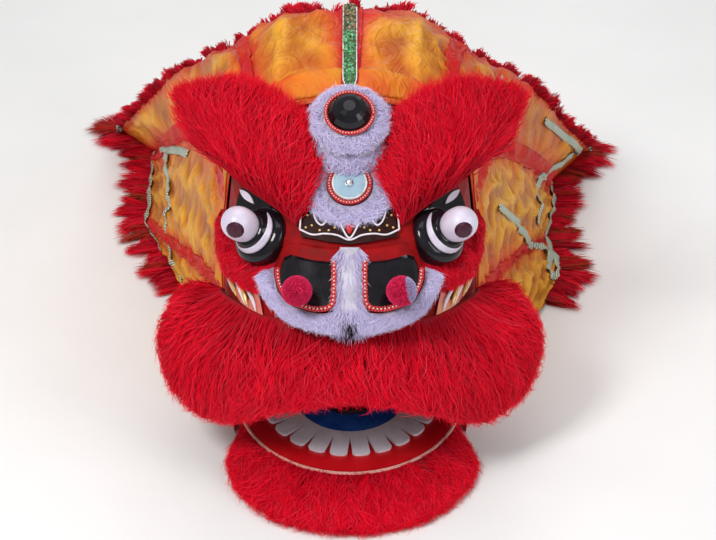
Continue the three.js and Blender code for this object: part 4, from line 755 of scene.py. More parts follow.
def make_ring_furs():
    mirror = (35, 65, 6, 8, 10, 14, MIRROR_ORIGIN, MIRROR_AXIS)
    low = (50, 70, 36, 17.3, 12, 8, HORN_ORIGIN, HORN_AXIS)
    high = (33.5, 55, 64.8, 53.3, 8, 5, HORN_ORIGIN, HORN_AXIS)
    how = dict(loose=3.4, lower=0.12, length=(0.6, 1.2), start=0.5, limit=1.28)
    white_fur("mirror_ruff", "mirror_fur", ring_form(*mirror), 6500, 51, **how)
    white_fur("horn_ruff_low", "horn_fur_lower", ring_form(*low), 6000, 52, **how)
    white_fur("horn_ruff_high", "horn_fur_upper", ring_form(*high), 5000, 53, **how)


make_ring_furs()

# Nose trims

NOSE_HALF_WIDTH = 124
NOSE_BOTTOM = 340
NOSE_TOP = 432
NOSE_REACH = 338
NOSE_SECTIONS = np.array(
    [(0, 0.95, 0.9), (0.13, 0.995, 0.985), (0.33, 1, 1), (0.87, 0.83, 0.94), (1, 0.79, 0.87)]
)


def nose_reach(rise):
    return NOSE_REACH * np.interp(rise, NOSE_SECTIONS[:, 0], NOSE_SECTIONS[:, 1])


def nose_height(rise):
    return NOSE_BOTTOM + (NOSE_TOP - NOSE_BOTTOM) * rise


def on_nose(points, lift):
    points = np.asarray(points, float)
    x, z = points[:, 0], points[:, 1]
    rise = (z - NOSE_BOTTOM) / (NOSE_TOP - NOSE_BOTTOM)
    reach = nose_reach(rise)
    width = NOSE_HALF_WIDTH * np.interp(rise, NOSE_SECTIONS[:, 0], NOSE_SECTIONS[:, 2])
    y = -reach * 0.5 * (1 + np.clip(1 - np.abs(x / width) ** 3, 0, None) ** (1 / 3))
    return np.stack([x, y - 0.62 * lift, z + 0.78 * lift], 1)


def trim_line(side, outset):
    inner = side * (27 - outset)
    outer = side * (106 + outset)
    low = 371 - outset
    return [
        (inner, 418),
        (inner, low + 26),
        (inner + side * 4, low + 6),
        (inner + side * 22, low),
        (inner + (outer - inner) * 0.55, low),
        (outer - side * 18, low + 1),
        (outer - side * 2, low + 12),
        (outer, low + 24),
    ]


def nostril_form(side):
    line = trim_line(side, 10)[2:]
    root = on_nose(line, 3)
    tip = []
    for i, (x, z) in enumerate(line):
        share = i / (len(line) - 1)
        outward = -4 + 30 * max(0, share * 1.6 - 0.6)
        fall = 26 - 14 * share
        tip.append((x + side * outward, root[i][1] - 10 - 4 * (1 - share), z - fall))
    out = [(side * 0.2 * i / 5, -0.9, 0.45) for i in range(len(line))]
    return fur_form(root, tip, out, [10, 12, 12, 12, 9], 6)


def bead_rows(path, up, gap, radius, rows):
    """Round beads in rows along a path."""
    lengths = path_lengths(path)
    count = int(lengths[-1] // gap)
    parts = []
    for row, offset in enumerate(rows):
        places = (np.arange(count) + 0.5 * (row % 2)) * gap
        centre = along_path(path, lengths, places)
        ahead = unit(np.gradient(centre, axis=0))
        side = unit(np.cross(ahead, up))
        over = np.cross(side, ahead)
        for c, s, o in zip(centre, side, over):
            parts.append(ball_mesh(c + s * offset[0] + o * offset[1], radius, 6, 4))
    return joined(parts)


def bead_trim(name, node, path, up, radius=4):
    """A beaded band under two rows of glass beads and one of seed pearls."""
    band = tube_mesh(path, radius, 10, flat=0.7, up=up)
    mesh_object(name + "_band", *band, "red_beads", bead_band, node)
    rows = [(-0.62 * radius, 0.72 * radius), (0.62 * radius, 0.72 * radius)]
    beads = bead_rows(path, up, 1.1 * radius, 0.5 * radius, rows)
    mesh_object(name, *beads, "red_beads", bead_glass, node)
    seeds = bead_rows(path, up, 1.5 * radius, 0.42 * radius, [(0, 0.86 * radius)])
    mesh_object(name + "_seeds", *seeds, "silver_trim", seed_pearl)


RING_STEPS = 72


def ring_path(radius, height, origin, axis):
    turns = np.radians(np.linspace(0, 360, RING_STEPS + 1))
    ring = [radius * np.cos(turns), radius * np.sin(turns), np.full(RING_STEPS + 1, height)]
    return placed(np.stack(ring, 1), origin, axis)


def make_nose_trims():
    for side, name in SIDES:
        line = on_nose(trim_line(side, 3.5), 5)
        path = spline(line, np.linspace(0, 1, 60))
        bead_trim(f"nostril_trim_{name}", f"nostril_beads_{name}", path, (0, -0.7, 0.7))
        form = nostril_form(side)
        how = dict(loose=3, lower=0.1, length=(0.5, 1.0), start=0.45, limit=1.02, reach=0.75)
        white_fur(f"nostril_ruff_{name}", f"nostril_fur_{name}", form, 5200, 61 + side, **how)
    rings = [
        ("mirror_trim", "mirror_beads", 31.5, 11, MIRROR_ORIGIN, MIRROR_AXIS),
        ("horn_trim_high", "horn_beads_upper", 36.5, HORN_HEIGHT, HORN_ORIGIN, HORN_AXIS),
        ("horn_trim_low", "horn_beads_lower", 50.5, 43.2, HORN_ORIGIN, HORN_AXIS),
    ]
    for name, node, radius, height, origin, axis in rings:
        bead_trim(name, node, ring_path(radius, height, origin, axis), axis, radius=3)


make_nose_trims()


RIDGE_RISES = (-0.15, 0.1, 0.33, 0.6, 0.87, 1.09)
RIDGE_HALVES = (15, 25, 17, 16, 17, 17)
RIDGE_COUNT = 6000
RIDGE_AROUND = 16


def ridge_fur():
    """White fur down the ridge of the nose and over its tip."""
    rng = np.random.default_rng(71)
    count = RIDGE_COUNT
    rise = rng.uniform(-0.12, 1.06, count)
    half = np.interp(rise, RIDGE_RISES, RIDGE_HALVES)
    across = rng.uniform(-1, 1, count)
    base = [across * half * 0.8, -nose_reach(rise) - 3 * (1 - across**2), nose_height(rise)]
    base = np.stack(base, 1)
    ahead = np.stack([across * 0.55, np.full(count, -0.42), np.full(count, -0.75)], 1)
    ahead = unit(ahead + rng.normal(0, 0.16, (count, 3)))
    out = unit(np.stack([across * 0.35, np.full(count, -0.85), np.full(count, 0.4)], 1))
    length = rng.uniform(15, 27, count)
    stations = np.empty((count, 4, 3))
    for i, t in enumerate((0, 0.36, 0.7, 1)):
        lift = out * (8 * math.sin(math.pi * 0.62 * t))
        stations[:, i] = base + ahead * (length * t)[:, None] + lift
    stations[:, 3] += rng.normal(0, 1.5, (count, 3))
    tone = rng.uniform(0.78, 1.05, count)
    width = rng.uniform(0.9, 1.4, count)
    colour = WHITE_HAIR * tone[:, None]
    # Painted shade: most strands low in the middle of the nose are near black, for the dark gap there.
    dark = (np.abs(across) < 0.28) & (rise < 0.3) & (rng.random(count) < 0.75)
    colour = np.where(dark[:, None], GAP_SHADE_HAIR, colour)
    stations = stations[:, SHORT]
    node = "nose_ridge_fur"
    hair("ridge_fur", stations, width, colour, out, rng, "white_fur", white_finish, node)
    rows = np.linspace(-0.12, 1.08, 26)
    spine = []
    for row in rows:
        half = np.interp(row, RIDGE_RISES, RIDGE_HALVES)
        for turn in np.linspace(0, 2 * math.pi, RIDGE_AROUND, endpoint=False):
            y = -nose_reach(row) - 4 - 5 * math.sin(turn)
            spine.append((0.86 * half * math.cos(turn), y, nose_height(row) + 3 * math.sin(turn)))
    faces = capped_faces(len(rows), RIDGE_AROUND)
    mesh_object("ridge_fur_coat", spine, faces, "white_fur", undercoat_shade_white, node)


ridge_fur()


EYE_CORE = 4
EYE_SIDE = 137
EYE_HEIGHT = 421
EYE_RADIUS = 46
EYE_DOME = 13
EYE_RING_RADIUS = 35.5
EYE_RING_TOP_RADIUS = 28.5
EYE_RING_HEIGHT = 19.2
EYE_BALL_FOOT = 32.4
EYE_BALL = [
    (22.4, EYE_BALL_FOOT),
    (25.4, 41),
    (26.3, 52),
    (25.2, 62),
    (22, 70),
    (16.5, 76.5),
    (9, 80.8),
    (0, 82.6),
]


def lathe_mesh(profile, origin, axis, tip, around=72):
    turns = 2 * math.pi * np.arange(around) / around
    rings = []
    for radius, height in profile:
        ring = [radius * np.cos(turns), radius * np.sin(turns), np.full(around, height)]
        rings.append(np.stack(ring, 1))
    points = placed(np.vstack(rings), origin, axis, tip)
    return points, capped_faces(len(profile), around)


def crescent_mesh(side, origin, axis, tip):
    """A thin white sheet over the side of an eye's ring, on the part that looks down and inwards."""
    look = placed([(1, 0, 0), (0, 1, 0)], (0, 0, 0), axis, tip) @ unit((-side * 0.5, -0.75, -0.45))
    turns = np.linspace(-1.9, 1.9, 61)
    angle = turns + math.atan2(look[1], look[0])
    wide = np.clip(np.cos(turns * 0.83), 0, 1) ** 0.6
    points = []
    for lift in (0.7, -0.3):
        for up in np.linspace(0, 1, 5):
            slope = 0.03 + 0.74 * wide * up
            radius = EYE_RING_RADIUS + (EYE_RING_TOP_RADIUS - EYE_RING_RADIUS) * slope + lift
            height = EYE_DOME + 3 + (EYE_RING_HEIGHT - 5) * slope + 0.4 * lift
            row = np.stack([radius * np.cos(angle), radius * np.sin(angle), height], 1)
            points.append(placed(row, origin, axis, tip))
    return np.vstack(points), sheet_faces(5, 61)


def make_eyes():
    """Smooth rim, ring and ball of each eye, with the ring's painted white crescent."""
    top = EYE_DOME + EYE_RING_HEIGHT
    rim = [
        (EYE_RADIUS + 0.4, -4),
        (EYE_RADIUS + 0.4, 3),
        (EYE_RADIUS - 1, 6.8),
        (EYE_RADIUS - 4, 9),
        (EYE_RING_RADIUS + 2, EYE_DOME + 0.3),
        (EYE_CORE, EYE_DOME + 0.3),
    ]
    ring = [
        (EYE_CORE, EYE_DOME + 0.2),
        (EYE_RING_RADIUS, EYE_DOME + 0.2),
        (EYE_RING_RADIUS, EYE_DOME + 3),
        (EYE_RING_TOP_RADIUS, top - 2),
        (EYE_RING_TOP_RADIUS - 1.5, top),
        (EYE_CORE, top),
    ]
    curve = spline([(r, h, 0) for r, h in EYE_BALL], np.linspace(0, 0.99, 28))
    ball = [(EYE_CORE, EYE_BALL_FOOT)] + [(max(r, 0.5), h) for r, h, _ in curve]
    for side, name in SIDES:
        origin = np.array((side * EYE_SIDE, float(head_front(EYE_SIDE, EYE_HEIGHT)), EYE_HEIGHT))
        place = (origin, unit((side * 0.58, -0.46, 0.67)), np.array((side * 0.62, 0.35, 0.7)))
        rim_mesh = lathe_mesh(rim, *place)
        mesh_object(f"eye_rim_{name}", *rim_mesh, "black_gloss", black_gloss)
        ring_mesh = lathe_mesh(ring, *place)
        mesh_object(f"eye_socket_{name}", *ring_mesh, "black_gloss", black_gloss, f"eye_ring_{name}")
        white_mesh = lathe_mesh(ball, *place)
        mesh_object(f"eye_white_{name}", *white_mesh, "white_paint", eye_white, f"eye_ball_{name}")
        crescent = crescent_mesh(side, *place)
        mesh_object(f"eye_crescent_{name}", *crescent, "white_paint", eye_white)


POMPOM_RADIUS = 20
POMPOM_COUNT = 7000
POMPOM_PINK = np.array((1.0, 0.045, 0.19))


def make_pompoms():
    for side, name in SIDES:
        rng = np.random.default_rng(81 + side)
        count = POMPOM_COUNT
        centre = np.array((side * 78, -349, 412.0))
        way = unit(rng.normal(0, 1, (count, 3)))
        base = centre + way * (POMPOM_RADIUS - 0.5)
        end = unit(way + rng.normal(0, 0.16, (count, 3)))
        length = rng.uniform(2.5, 4.6, count)[:, None]
        stations = np.stack([base, base + end * length * 0.75, base + end * length], 1)
        white = way @ unit((0.85, -0.1, 0.25)) > (0.5 if side > 0 else 1.1)
        colour = POMPOM_PINK * rng.uniform(0.8, 1.12, count)[:, None]
        colour = np.where(white[:, None], WHITE_HAIR * 0.9, colour)
        facing = unit(np.cross(way, rng.normal(0, 1, (count, 3))))
        width = rng.uniform(0.9, 1.4, count)
        look = (colour, facing, rng, "pompom_wool", white_finish, f"pompom_{name}")
        hair(f"pompom_wool_{name}", stations, width, *look)
        core = ball_mesh(centre, POMPOM_RADIUS, 28, 18)
        pink = plain(f"pompom_core_{name}", (0.8, 0.02, 0.13), (0.95, 0.03, 0.17), 0.9, scale=300)
        mesh_object(f"pompom_core_{name}", *core, "pompom_wool", pink, f"pompom_{name}")


make_eyes()
make_pompoms()

# Cape

CAPE_ROOT = -40
CAPE_LENGTH = 900
CAPE_CORNER_WIDTH = 484
CAPE_PUFF = 18
CAPE_RIBS = [0, 0.24, 0.44, 0.7]
CAPE_CORNER_ARCH = 0.34
CAPE_SIDE_ARCH = 0.3
CAPE_END = 0.996
SATIN_FLOOR = 2.4
BRAID_FLOOR = 0.6
SATIN_RISE = 6
CAPE_ROWS = 106
CAPE_COLUMNS = 331
CAPE_HEM = np.array(
    [
        (0, 0, 1.03, 0, 1.03),
        (0.12, 0.33, 1.06, 0.33, 1.05),
        (0.24, 0.68, 1.03, 0.66, 0.98),
        (0.34, 1, 1.01, 1, 0.92),
        (0.44, 0.82, 0.9, 0.81, 0.765),
        (0.57, 0.81, 0.74, 0.8, 0.66),
        (0.7, 0.81, 0.62, 0.76, 0.555),
        (0.85, 0.68, 0.44, 0.8, 0.43),
        (1, 0.55, 0.28, 0.72, 0.28),
    ]
)
CAPE_FALL = np.array(
    [
        (0, 0, 1, 1, 1),
        (0.1, 0.03, 1.08, 1.04, 0.94),
        (0.2, 0.07, 1.112, 1.06, 0.86),
        (0.3, 0.13, 1, 1.03, 0.77),
        (0.4, 0.22, 0.85, 0.95, 0.67),
        (0.5, 0.34, 0.68, 0.82, 0.56),
        (0.6, 0.48, 0.52, 0.67, 0.45),
        (0.7, 0.63, 0.37, 0.5, 0.33),
        (0.8, 0.78, 0.23, 0.32, 0.22),
        (0.9, 0.91, 0.11, 0.15, 0.11),
        (1, 1, 0.008, 0.008, 0.008),
    ]
)


def arch_table():
    top = float(head_top(0, CAPE_ROOT))
    z = top * (1 - np.arange(61) / 60)
    middle, length, width = head_sizes(z)
    off = np.abs((CAPE_ROOT - middle) / length)
    x = width * np.clip(1 - off**ROUNDNESS, 0, None) ** (1 / ROUNDNESS)
    x[0] = 0
    steps = np.hypot(np.diff(x), np.diff(z))
    lengths = np.concatenate([[0], np.cumsum(steps)])
    return lengths / lengths[-1], x, z


ARCH = arch_table()


def petal_shape(arch):
    stops = np.array(CAPE_RIBS + [1.0])
    index = np.clip(np.searchsorted(stops, arch, side="left") - 1, 0, len(stops) - 2)
    share = (arch - stops[index]) / (stops[index + 1] - stops[index])
    return np.where(arch <= 1, np.sin(math.pi * np.clip(share, 0, 1)), 0)


def cape_points(across, way):
    across, way = np.broadcast_arrays(np.asarray(across, float), np.asarray(way, float))
    side = np.where(across < 0, -1.0, 1.0)
    arch = np.abs(across)
    root_x = np.interp(arch, ARCH[0], ARCH[1])
    root_z = np.interp(arch, ARCH[0], ARCH[2])
    left = [np.interp(arch, CAPE_HEM[:, 0], CAPE_HEM[:, k]) for k in (1, 2)]
    right = [np.interp(arch, CAPE_HEM[:, 0], CAPE_HEM[:, k]) for k in (3, 4)]
    hem_x = CAPE_CORNER_WIDTH * np.where(side < 0, left[0], right[0])
    hem_y = CAPE_ROOT + CAPE_LENGTH * np.where(side < 0, left[1], right[1])
    corner_share = np.minimum(1, arch / CAPE_CORNER_ARCH)
    side_share = np.clip((arch - CAPE_CORNER_ARCH) / CAPE_SIDE_ARCH, 0, 1)
    falls = [np.interp(way, CAPE_FALL[:, 0], CAPE_FALL[:, k]) for k in (1, 2, 3, 4)]
    late, back, corner, flank = falls
    height = back + (corner - back) * corner_share
    height = height + (flank - height) * side_share
    reach = late + (way - late) * np.maximum(1 - corner_share, side_share)
    x = root_x + (hem_x - root_x) * reach
    y = CAPE_ROOT + (hem_y - CAPE_ROOT) * way
    swell = np.sin(math.pi * np.minimum(1, way * 1.05))
    puff = CAPE_PUFF * petal_shape(arch) * np.clip(swell, 0, None) ** 1.4
    z = np.maximum(root_z * height, 3) + puff * (1 - 0.5 * side_share)
    clearance = -2 + 4.5 * np.minimum(1, way / 0.06)
    clear = head_top(x, y)
    floor = np.where(clear > 0.3 * HEAD_HEIGHT, clear + 2 * clearance, 2.5)
    out = clearance + 0.5 * side_share * puff
    return np.stack([side * (x + out * np.minimum(1, arch * 3)), y, np.maximum(z, floor)], -1)


def cape_normals(across, way):
    step = 0.006
    along = cape_points(across + step, way) - cape_points(across - step, way)
    down = cape_points(across, np.minimum(1, way + step))
    down = down - cape_points(across, np.maximum(0, way - step))
    normal = unit(np.cross(along, down))
    outward = np.stack([np.sign(across) * 0.5, np.full_like(across, 0.2), np.ones_like(across)], -1)
    return np.where((normal * outward).sum(-1, keepdims=True) < 0, -normal, normal)


def rib_distance(across):
    """Share of the arch to the nearest rib."""
    arch = np.abs(across)
    return np.min([np.abs(arch - rib) for rib in CAPE_RIBS], axis=0)


NOISE_OCTAVES = 4
NOISE_WAVES = 5


def soft_noise(u, v, seed):
    """Smooth noise from sums of waves, the same on each run."""
    rng = np.random.default_rng(seed)
    total = np.zeros_like(u)
    for octave in range(NOISE_OCTAVES):
        for _ in range(NOISE_WAVES):
            turn = rng.uniform(0, 2 * math.pi)
            rate = 2**octave * rng.uniform(0.7, 1.3)
            phase = rng.uniform(0, 2 * math.pi)
            run = rate * (u * math.cos(turn) + v * math.sin(turn)) * 2 * math.pi
            total += np.sin(run + phase) / 1.8**octave
    return total / NOISE_WAVES


def ridged(turns):
    """Waves with a narrow crest and a wide valley, from 0 to 1."""
    return (1 - np.abs(np.sin(math.pi * turns))) ** 1.4


def cape_wrinkles(across, way):
    """Height of the satin's folds over the plain sheet."""
    near = np.exp(-rib_distance(across) / 0.05)
    drift = soft_noise(across * 3, way * 3, 5)
    gathers = 2 * ridged(way * 19 + 0.9 * drift + 3 * across) - 1
    long_folds = 2 * ridged(np.abs(across) * 13 + way * 2.5 + 0.7 * drift) - 1
    crumple = soft_noise(across * 7, way * 9, 6)
    fade = np.clip(way / 0.08, 0, 1) * np.clip((1 - way) / 0.05, 0.1, 1)
    return fade * (5.0 * near * gathers + 4.4 * long_folds * (1 - near) + 3.0 * crumple)


def cape_surface(across, way, lift):
    rise = lift + SATIN_RISE + cape_wrinkles(across, way)
    points = cape_points(across, way) + cape_normals(across, way) * rise[..., None]
    points[..., 2] = np.maximum(points[..., 2], SATIN_FLOOR + lift)
    return points


GOLD = np.array((0.8, 0.34, 0.014))
PALE_GOLD = np.array((0.96, 0.52, 0.06))
FOLD_SHADE_GOLD = np.array((0.42, 0.075, 0.004))
ORANGE = np.array((0.78, 0.09, 0.012))
SATIN_RED = np.array((0.62, 0.008, 0.014))


def blend(a, b, share):
    share = np.clip(share, 0, 1)[..., None]
    return a * (1 - share) + b * share


def satin_finish(name, rough=0.36, medallions=True):
    """Woven satin with creases finer than the mesh, and a figure of ringed discs on the gold."""
    material, nodes, links, shader = new_material(name)
    cloth = coordinates(nodes, "UV")
    tint = mesh_tint(nodes)
    drift = noise(nodes, links, cloth, 9, detail=5)
    shade = ramp(nodes, links, drift, (0.3, (0.84, 0.8, 0.76)), (0.7, (1, 1, 1)))
    tone = multiplied(nodes, links, tint, shade)
    height = diagonal_bands(nodes, links, cloth, 420, 1.5)
    if medallions:
        cells = nodes.new("ShaderNodeTexVoronoi")
        cells.inputs["Scale"].default_value = 14
        cells.inputs["Randomness"].default_value = 0.55
        links.new(cloth, cells.inputs["Vector"])
        distance = cells.outputs["Distance"]
        rings = computed(nodes, links, "SINE", computed(nodes, links, "MULTIPLY", distance, 46))
        swirl = noise(nodes, links, cloth, 130, detail=2, distortion=1.6)
        motif = computed(nodes, links, "MULTIPLY", rings, swirl)
        disc = ramp(nodes, links, distance, (0.42, (1, 1, 1)), (0.5, (0, 0, 0)))
        figure = computed(nodes, links, "MULTIPLY", motif, disc)
        height = computed(nodes, links, "MULTIPLY_ADD", figure, 3.0, height)
        gleam = ramp(nodes, links, figure, (0.1, (1, 1, 1)), (0.5, (0.86, 0.82, 0.72)))
        tone = multiplied(nodes, links, tone, gleam)
    links.new(tone, shader.inputs["Base Color"])
    links.new(ranged(nodes, links, drift, rough * 0.85, rough * 1.25), shader.inputs["Roughness"])
    weave = bumped(nodes, links, height, shader, 0.25, 0.0005)
    crease = noise(nodes, links, cloth, 13, detail=3, rough=0.45, distortion=1.4)
    bumped(nodes, links, computed(nodes, links, "PINGPONG", crease, 0.06), weave, 0.55, 0.05)
    shader.inputs["Specular IOR Level"].default_value = 0.22
    return material


gold_satin = satin_finish("gold_satin")
red_satin = satin_finish("red_satin", 0.42, medallions=False)


def cape_strip(name, across, way, low, high, slot, material, tint, node):
    """A closed sheet over the grid of places across and way, from one lift to another."""
    top = cape_surface(across, way, high)
    under = cape_surface(across, way, low)
    points = np.concatenate([top.reshape(-1, 3), under.reshape(-1, 3)])
    tints = np.concatenate([tint.reshape(-1, 3)] * 2)
    cloth = np.stack([across * 0.8, way * 0.95], -1)
    uvs = np.concatenate([cloth.reshape(-1, 2)] * 2)
    faces = sheet_faces(*across.shape)
    return mesh_object(name, points, faces, slot, material, node, tint=tints, uv=uvs)


SIGHT = np.array((0, math.sin(CAMERA_ELEVATION), math.cos(CAMERA_ELEVATION)))


def high_edge():
    """The cape's upper outline as the front sees it: across, way, x and height in view of each place."""
    across, way = np.meshgrid(np.linspace(-0.6, 0.6, 601), np.linspace(0.02, 0.99, 300))
    points = cape_points(across, way)
    height = (points @ SIGHT).ravel()
    x = points[..., 0].ravel()
    columns = np.arange(-470, 471, 5)
    found = []
    for column in columns:
        near = np.flatnonzero(np.abs(x - column) < 2.5)
        if len(near):
            best = near[np.argmax(height[near])]
            found.append((across.ravel()[best], way.ravel()[best], column, height[best]))
    return np.array(found)


HIGH_EDGE = high_edge()


def make_cape():
    across = np.linspace(-CAPE_END, CAPE_END, CAPE_COLUMNS)
    way = np.linspace(0, 1, CAPE_ROWS)
    across, way = np.meshgrid(across, way)
    stain = soft_noise(across * 4, way * 5, 8)
    near = rib_distance(across)
    spread = 0.034 * (1 + 0.45 * stain)
    red = np.exp(-((near / (0.7 * spread)) ** 2))
    edge = np.exp(-((1 - way) / 0.035)) + np.exp(-way / 0.05)
    # Painted shade: the gold turns deep gold in the folds' valleys, where the wrinkles sink lowest.
    folds = np.clip(0.12 - cape_wrinkles(across, way) / 7, 0, 1)
    points = cape_points(across, way)
    drop = np.interp(points[..., 0], HIGH_EDGE[:, 2], HIGH_EDGE[:, 3]) - points @ SIGHT
    edge = edge + 1.2 * np.exp(-((drop / 16) ** 2)) * (np.abs(points[..., 0]) < 470)
    tint = blend(GOLD, PALE_GOLD, 0.5 + 0.5 * soft_noise(across * 2, way * 2, 9))
    tint = blend(tint, FOLD_SHADE_GOLD, 0.9 * folds)
    # The satin turns orange close to the ribs and in random patches, and towards the edges.
    orange_share = 0.8 * np.exp(-((near / (1.5 * spread)) ** 2)) + 0.15 * np.clip(stain, 0, 1)
    tint = blend(tint, ORANGE, orange_share + 0.5 * edge)
    tint = blend(tint, SATIN_RED, red + 0.6 * edge)
    how = ("gold_satin", gold_satin, tint, "cape_cloth")
    cape = cape_strip("cape_satin", across, way, -1.6, 0.0, *how)
    bands = []
    for k, rib in enumerate([-0.7, -0.44, -0.24, 0, 0.24, 0.44, 0.7]):
        a, w = np.meshgrid(rib + np.linspace(-0.02, 0.02, 9), np.linspace(0.02, 0.955, 96))
        wander = 0.006 * np.sin(w * 9 + k * 2)
        tint = blend(SATIN_RED, ORANGE, 0.18 + 0.3 * soft_noise(a * 9, w * 8, 12 + k))
        how = ("red_satin", red_satin, tint, "cape_trim")
        bands.append(cape_strip(f"cape_band_{k}", a + wander, w, 0.6, 2.6, *how))
    a, w = np.meshgrid(np.linspace(-0.95, 0.95, 181), np.linspace(0.012, 0.06, 9))
    tint = blend(GOLD, ORANGE, 0.55 + 0.45 * soft_noise(a * 9, w * 8, 30))
    how = ("red_satin", red_satin, tint, "cape_trim")
    bands.append(cape_strip("cape_collar", a, w, 0.6, 2.4, *how))
    return cape, bands


cape_piece, cape_bands = make_cape()


def braid_finish():
    material, nodes, links, shader = new_material("silver_braid")
    cord = diagonal_bands(nodes, links, coordinates(nodes, "UV"), 95, 0.6)
    colour = ramp(nodes, links, cord, (0.25, (0.2, 0.24, 0.17)), (0.7, (0.72, 0.8, 0.68)))
    links.new(colour, shader.inputs["Base Color"])
    shader.inputs["Metallic"].default_value = 0.55
    links.new(ranged(nodes, links, cord, 0.35, 0.55), shader.inputs["Roughness"])
    bumped(nodes, links, cord, shader, 0.8, 0.001)
    return material


silver_braid = braid_finish()


def braid_along(name, places, half=8, node=None):
    """A braid over the cape through places (across, way), with a raised middle."""
    places = np.asarray(places, float)
    count = 40 + 6 * len(places)
    line = spline(np.column_stack([places, np.zeros(len(places))]), np.linspace(0, 1, count))
    across, way = line[:, 0], np.clip(line[:, 1], 0, 0.995)
    centre = cape_surface(across, way, np.full(count, 2.2))
    normal = cape_normals(across, way)
    ahead = unit(np.gradient(centre, axis=0))
    side = unit(np.cross(ahead, normal))
    lengths = path_lengths(centre)
    profile = [(-1, 0), (-0.85, 1.6), (-0.4, 2.6), (0, 2.1), (0.4, 2.6), (0.85, 1.6), (1, 0), (0, -0.4)]
    points = []
    uvs = []
    for out, rise in profile:
        scallop = 1 + 0.08 * np.sin(lengths * 0.9)
        points.append(centre + side * (out * half * scallop)[:, None] + normal * rise)
        uvs.append(np.stack([lengths * MM, np.full(count, out * half * MM)], 1))
    points = np.stack(points, 1).reshape(-1, 3)
    points[:, 2] = np.maximum(points[:, 2], BRAID_FLOOR)
    uvs = np.stack(uvs, 1).reshape(-1, 2)
    faces = capped_faces(count, len(profile))
    return mesh_object(name, points, faces, "silver_braid", silver_braid, node, uv=uvs)


def make_braids():
    hem = np.linspace(-0.8, 0.9, 60)
    places = np.column_stack([hem, np.full(60, 0.972)])
    pieces = [braid_along("braid_hem", places, 9, "cape_braid")]
    branches = [
        [
            (-0.343, 0.95),
            (-0.451, 0.79),
            (-0.52, 0.72),
            (-0.589, 0.65),
            (-0.66, 0.68),
            (-0.724, 0.7),
            (-0.836, 0.66),
        ],
        [(-0.451, 0.79), (-0.47, 0.65), (-0.486, 0.52)],
        [(0.35, 0.42), (0.36, 0.38), (0.373, 0.33)],
        [(0.367, 0.686), (0.36, 0.8), (0.355, 0.93)],
        [(0.355, 0.92), (0.43, 0.84), (0.496, 0.762), (0.56, 0.76), (0.621, 0.764)],
        [(0.55, 0.24), (0.629, 0.51), (0.7, 0.74), (0.762, 0.921), (0.854, 0.83)],
        [(0.24, 0.96), (0.235, 0.8)],
        [(-0.24, 0.96), (-0.245, 0.86)],
    ]
    for k, places in enumerate(branches):
        pieces.append(braid_along(f"braid_branch_{k}", places))
    return pieces


braids = make_braids()


HEM_TUFTS = 330
HEM_TUFT_SIZE = 62
EDGE_TUFTS = 210
EDGE_TUFT_SIZE = 42
BROWN_WOOL = np.array((0.07, 0.035, 0.006))


def hem_outward(points, ahead):
    """The way out from the hem along the floor, at points of it that run ahead."""
    way = np.stack([-ahead[:, 1], ahead[:, 0], np.zeros(len(points))], 1)
    centre = unit(points * (1, 1, 0) - (0, 0.4 * CAPE_LENGTH, 0))
    way = np.where((way * centre).sum(1, keepdims=True) < 0, -way, way)
    return unit(way + 0.5 * centre)


def make_hem_fringe():
    """Wool fringe round the hem, in ragged tufts lying on the floor."""
    rng = np.random.default_rng(91)
    edge = cape_points(np.linspace(-0.985, 0.985, 600), np.ones(600))
    lengths = path_lengths(edge)
    whole = lengths[-1]
    tufts = HEM_TUFTS
    spot = (np.arange(tufts) + rng.uniform(0.1, 0.9, tufts)) / tufts * whole
    tuft = np.repeat(np.arange(tufts), HEM_TUFT_SIZE)
    total = len(tuft)
    place = np.clip(spot[tuft] + rng.normal(0, 5.5, total), 0, whole)
    base = along_path(edge, lengths, place)
    after = along_path(edge, lengths, np.clip(place + 25, 0, whole))
    ahead = unit(after - along_path(edge, lengths, np.clip(place - 25, 0, whole)))
    sway = rng.normal(0, 0.36, tufts)[tuft] + rng.normal(0, 0.06, total)
    way = unit(hem_outward(base, ahead) + ahead * sway[:, None])
    reach = (rng.uniform(30, 88, tufts)[tuft] * rng.uniform(0.7, 1.0, total))[:, None]
    start = rng.uniform(-12, 8, total)[:, None]
    rise = rng.uniform(2, 12, total)
    stations = np.empty((total, 4, 3))
    for i, t in enumerate((0, 0.34, 0.7, 1)):
        spot = base * (1, 1, 0) + way * (start + (reach - start) * t)
        stations[:, i] = spot + rng.normal(0, 1.5, (total, 3)) * t
        stations[:, i, 2] = 4 + rise * math.sin(math.pi * min(1, 0.25 + 0.72 * t)) * (1 - 0.35 * t)
    stations[:, :, 2] = np.clip(stations[:, :, 2], 1.2, 13)
    tone = rng.uniform(0.6, 1.1, tufts)[tuft] * rng.uniform(0.8, 1.15, total)
    colour = red_colours(tone, rng)
    brown = (rng.random(tufts) < 0.22)[tuft]
    colour = np.where(brown[:, None], colour * 0.5 + BROWN_WOOL, colour)
    up = np.tile((0.0, 0.0, 1.0), (total, 1))
    width = rng.uniform(1.6, 2.8, total)
    look = (colour, up, rng, "red_fur", hair_finish, "cape_fringe")
    wool = hair("hem_fringe", stations[:, SHORT], width, *look)
    places = np.linspace(0, whole, 260)
    core = along_path(edge, lengths, places)
    way = hem_outward(core, unit(np.gradient(core, axis=0)))
    ragged = 26 + 7 * np.sin(places * 0.11) + 6 * np.sin(places * 0.37)
    rings = []
    for out, height in ((0.05, 1), (1, 1), (1, 2.5), (0.5, 6), (0.05, 4)):
        ring = core * (1, 1, 0) + way * (ragged * out)[:, None]
        ring[:, 2] = height
        rings.append(ring)
    points = np.stack(rings, 1).reshape(-1, 3)
    faces = capped_faces(len(places), len(rings))
    coat = mesh_object("hem_fringe_coat", points, faces, "red_fur", undercoat_shade_red, "cape_fringe")
    return [wool, coat]


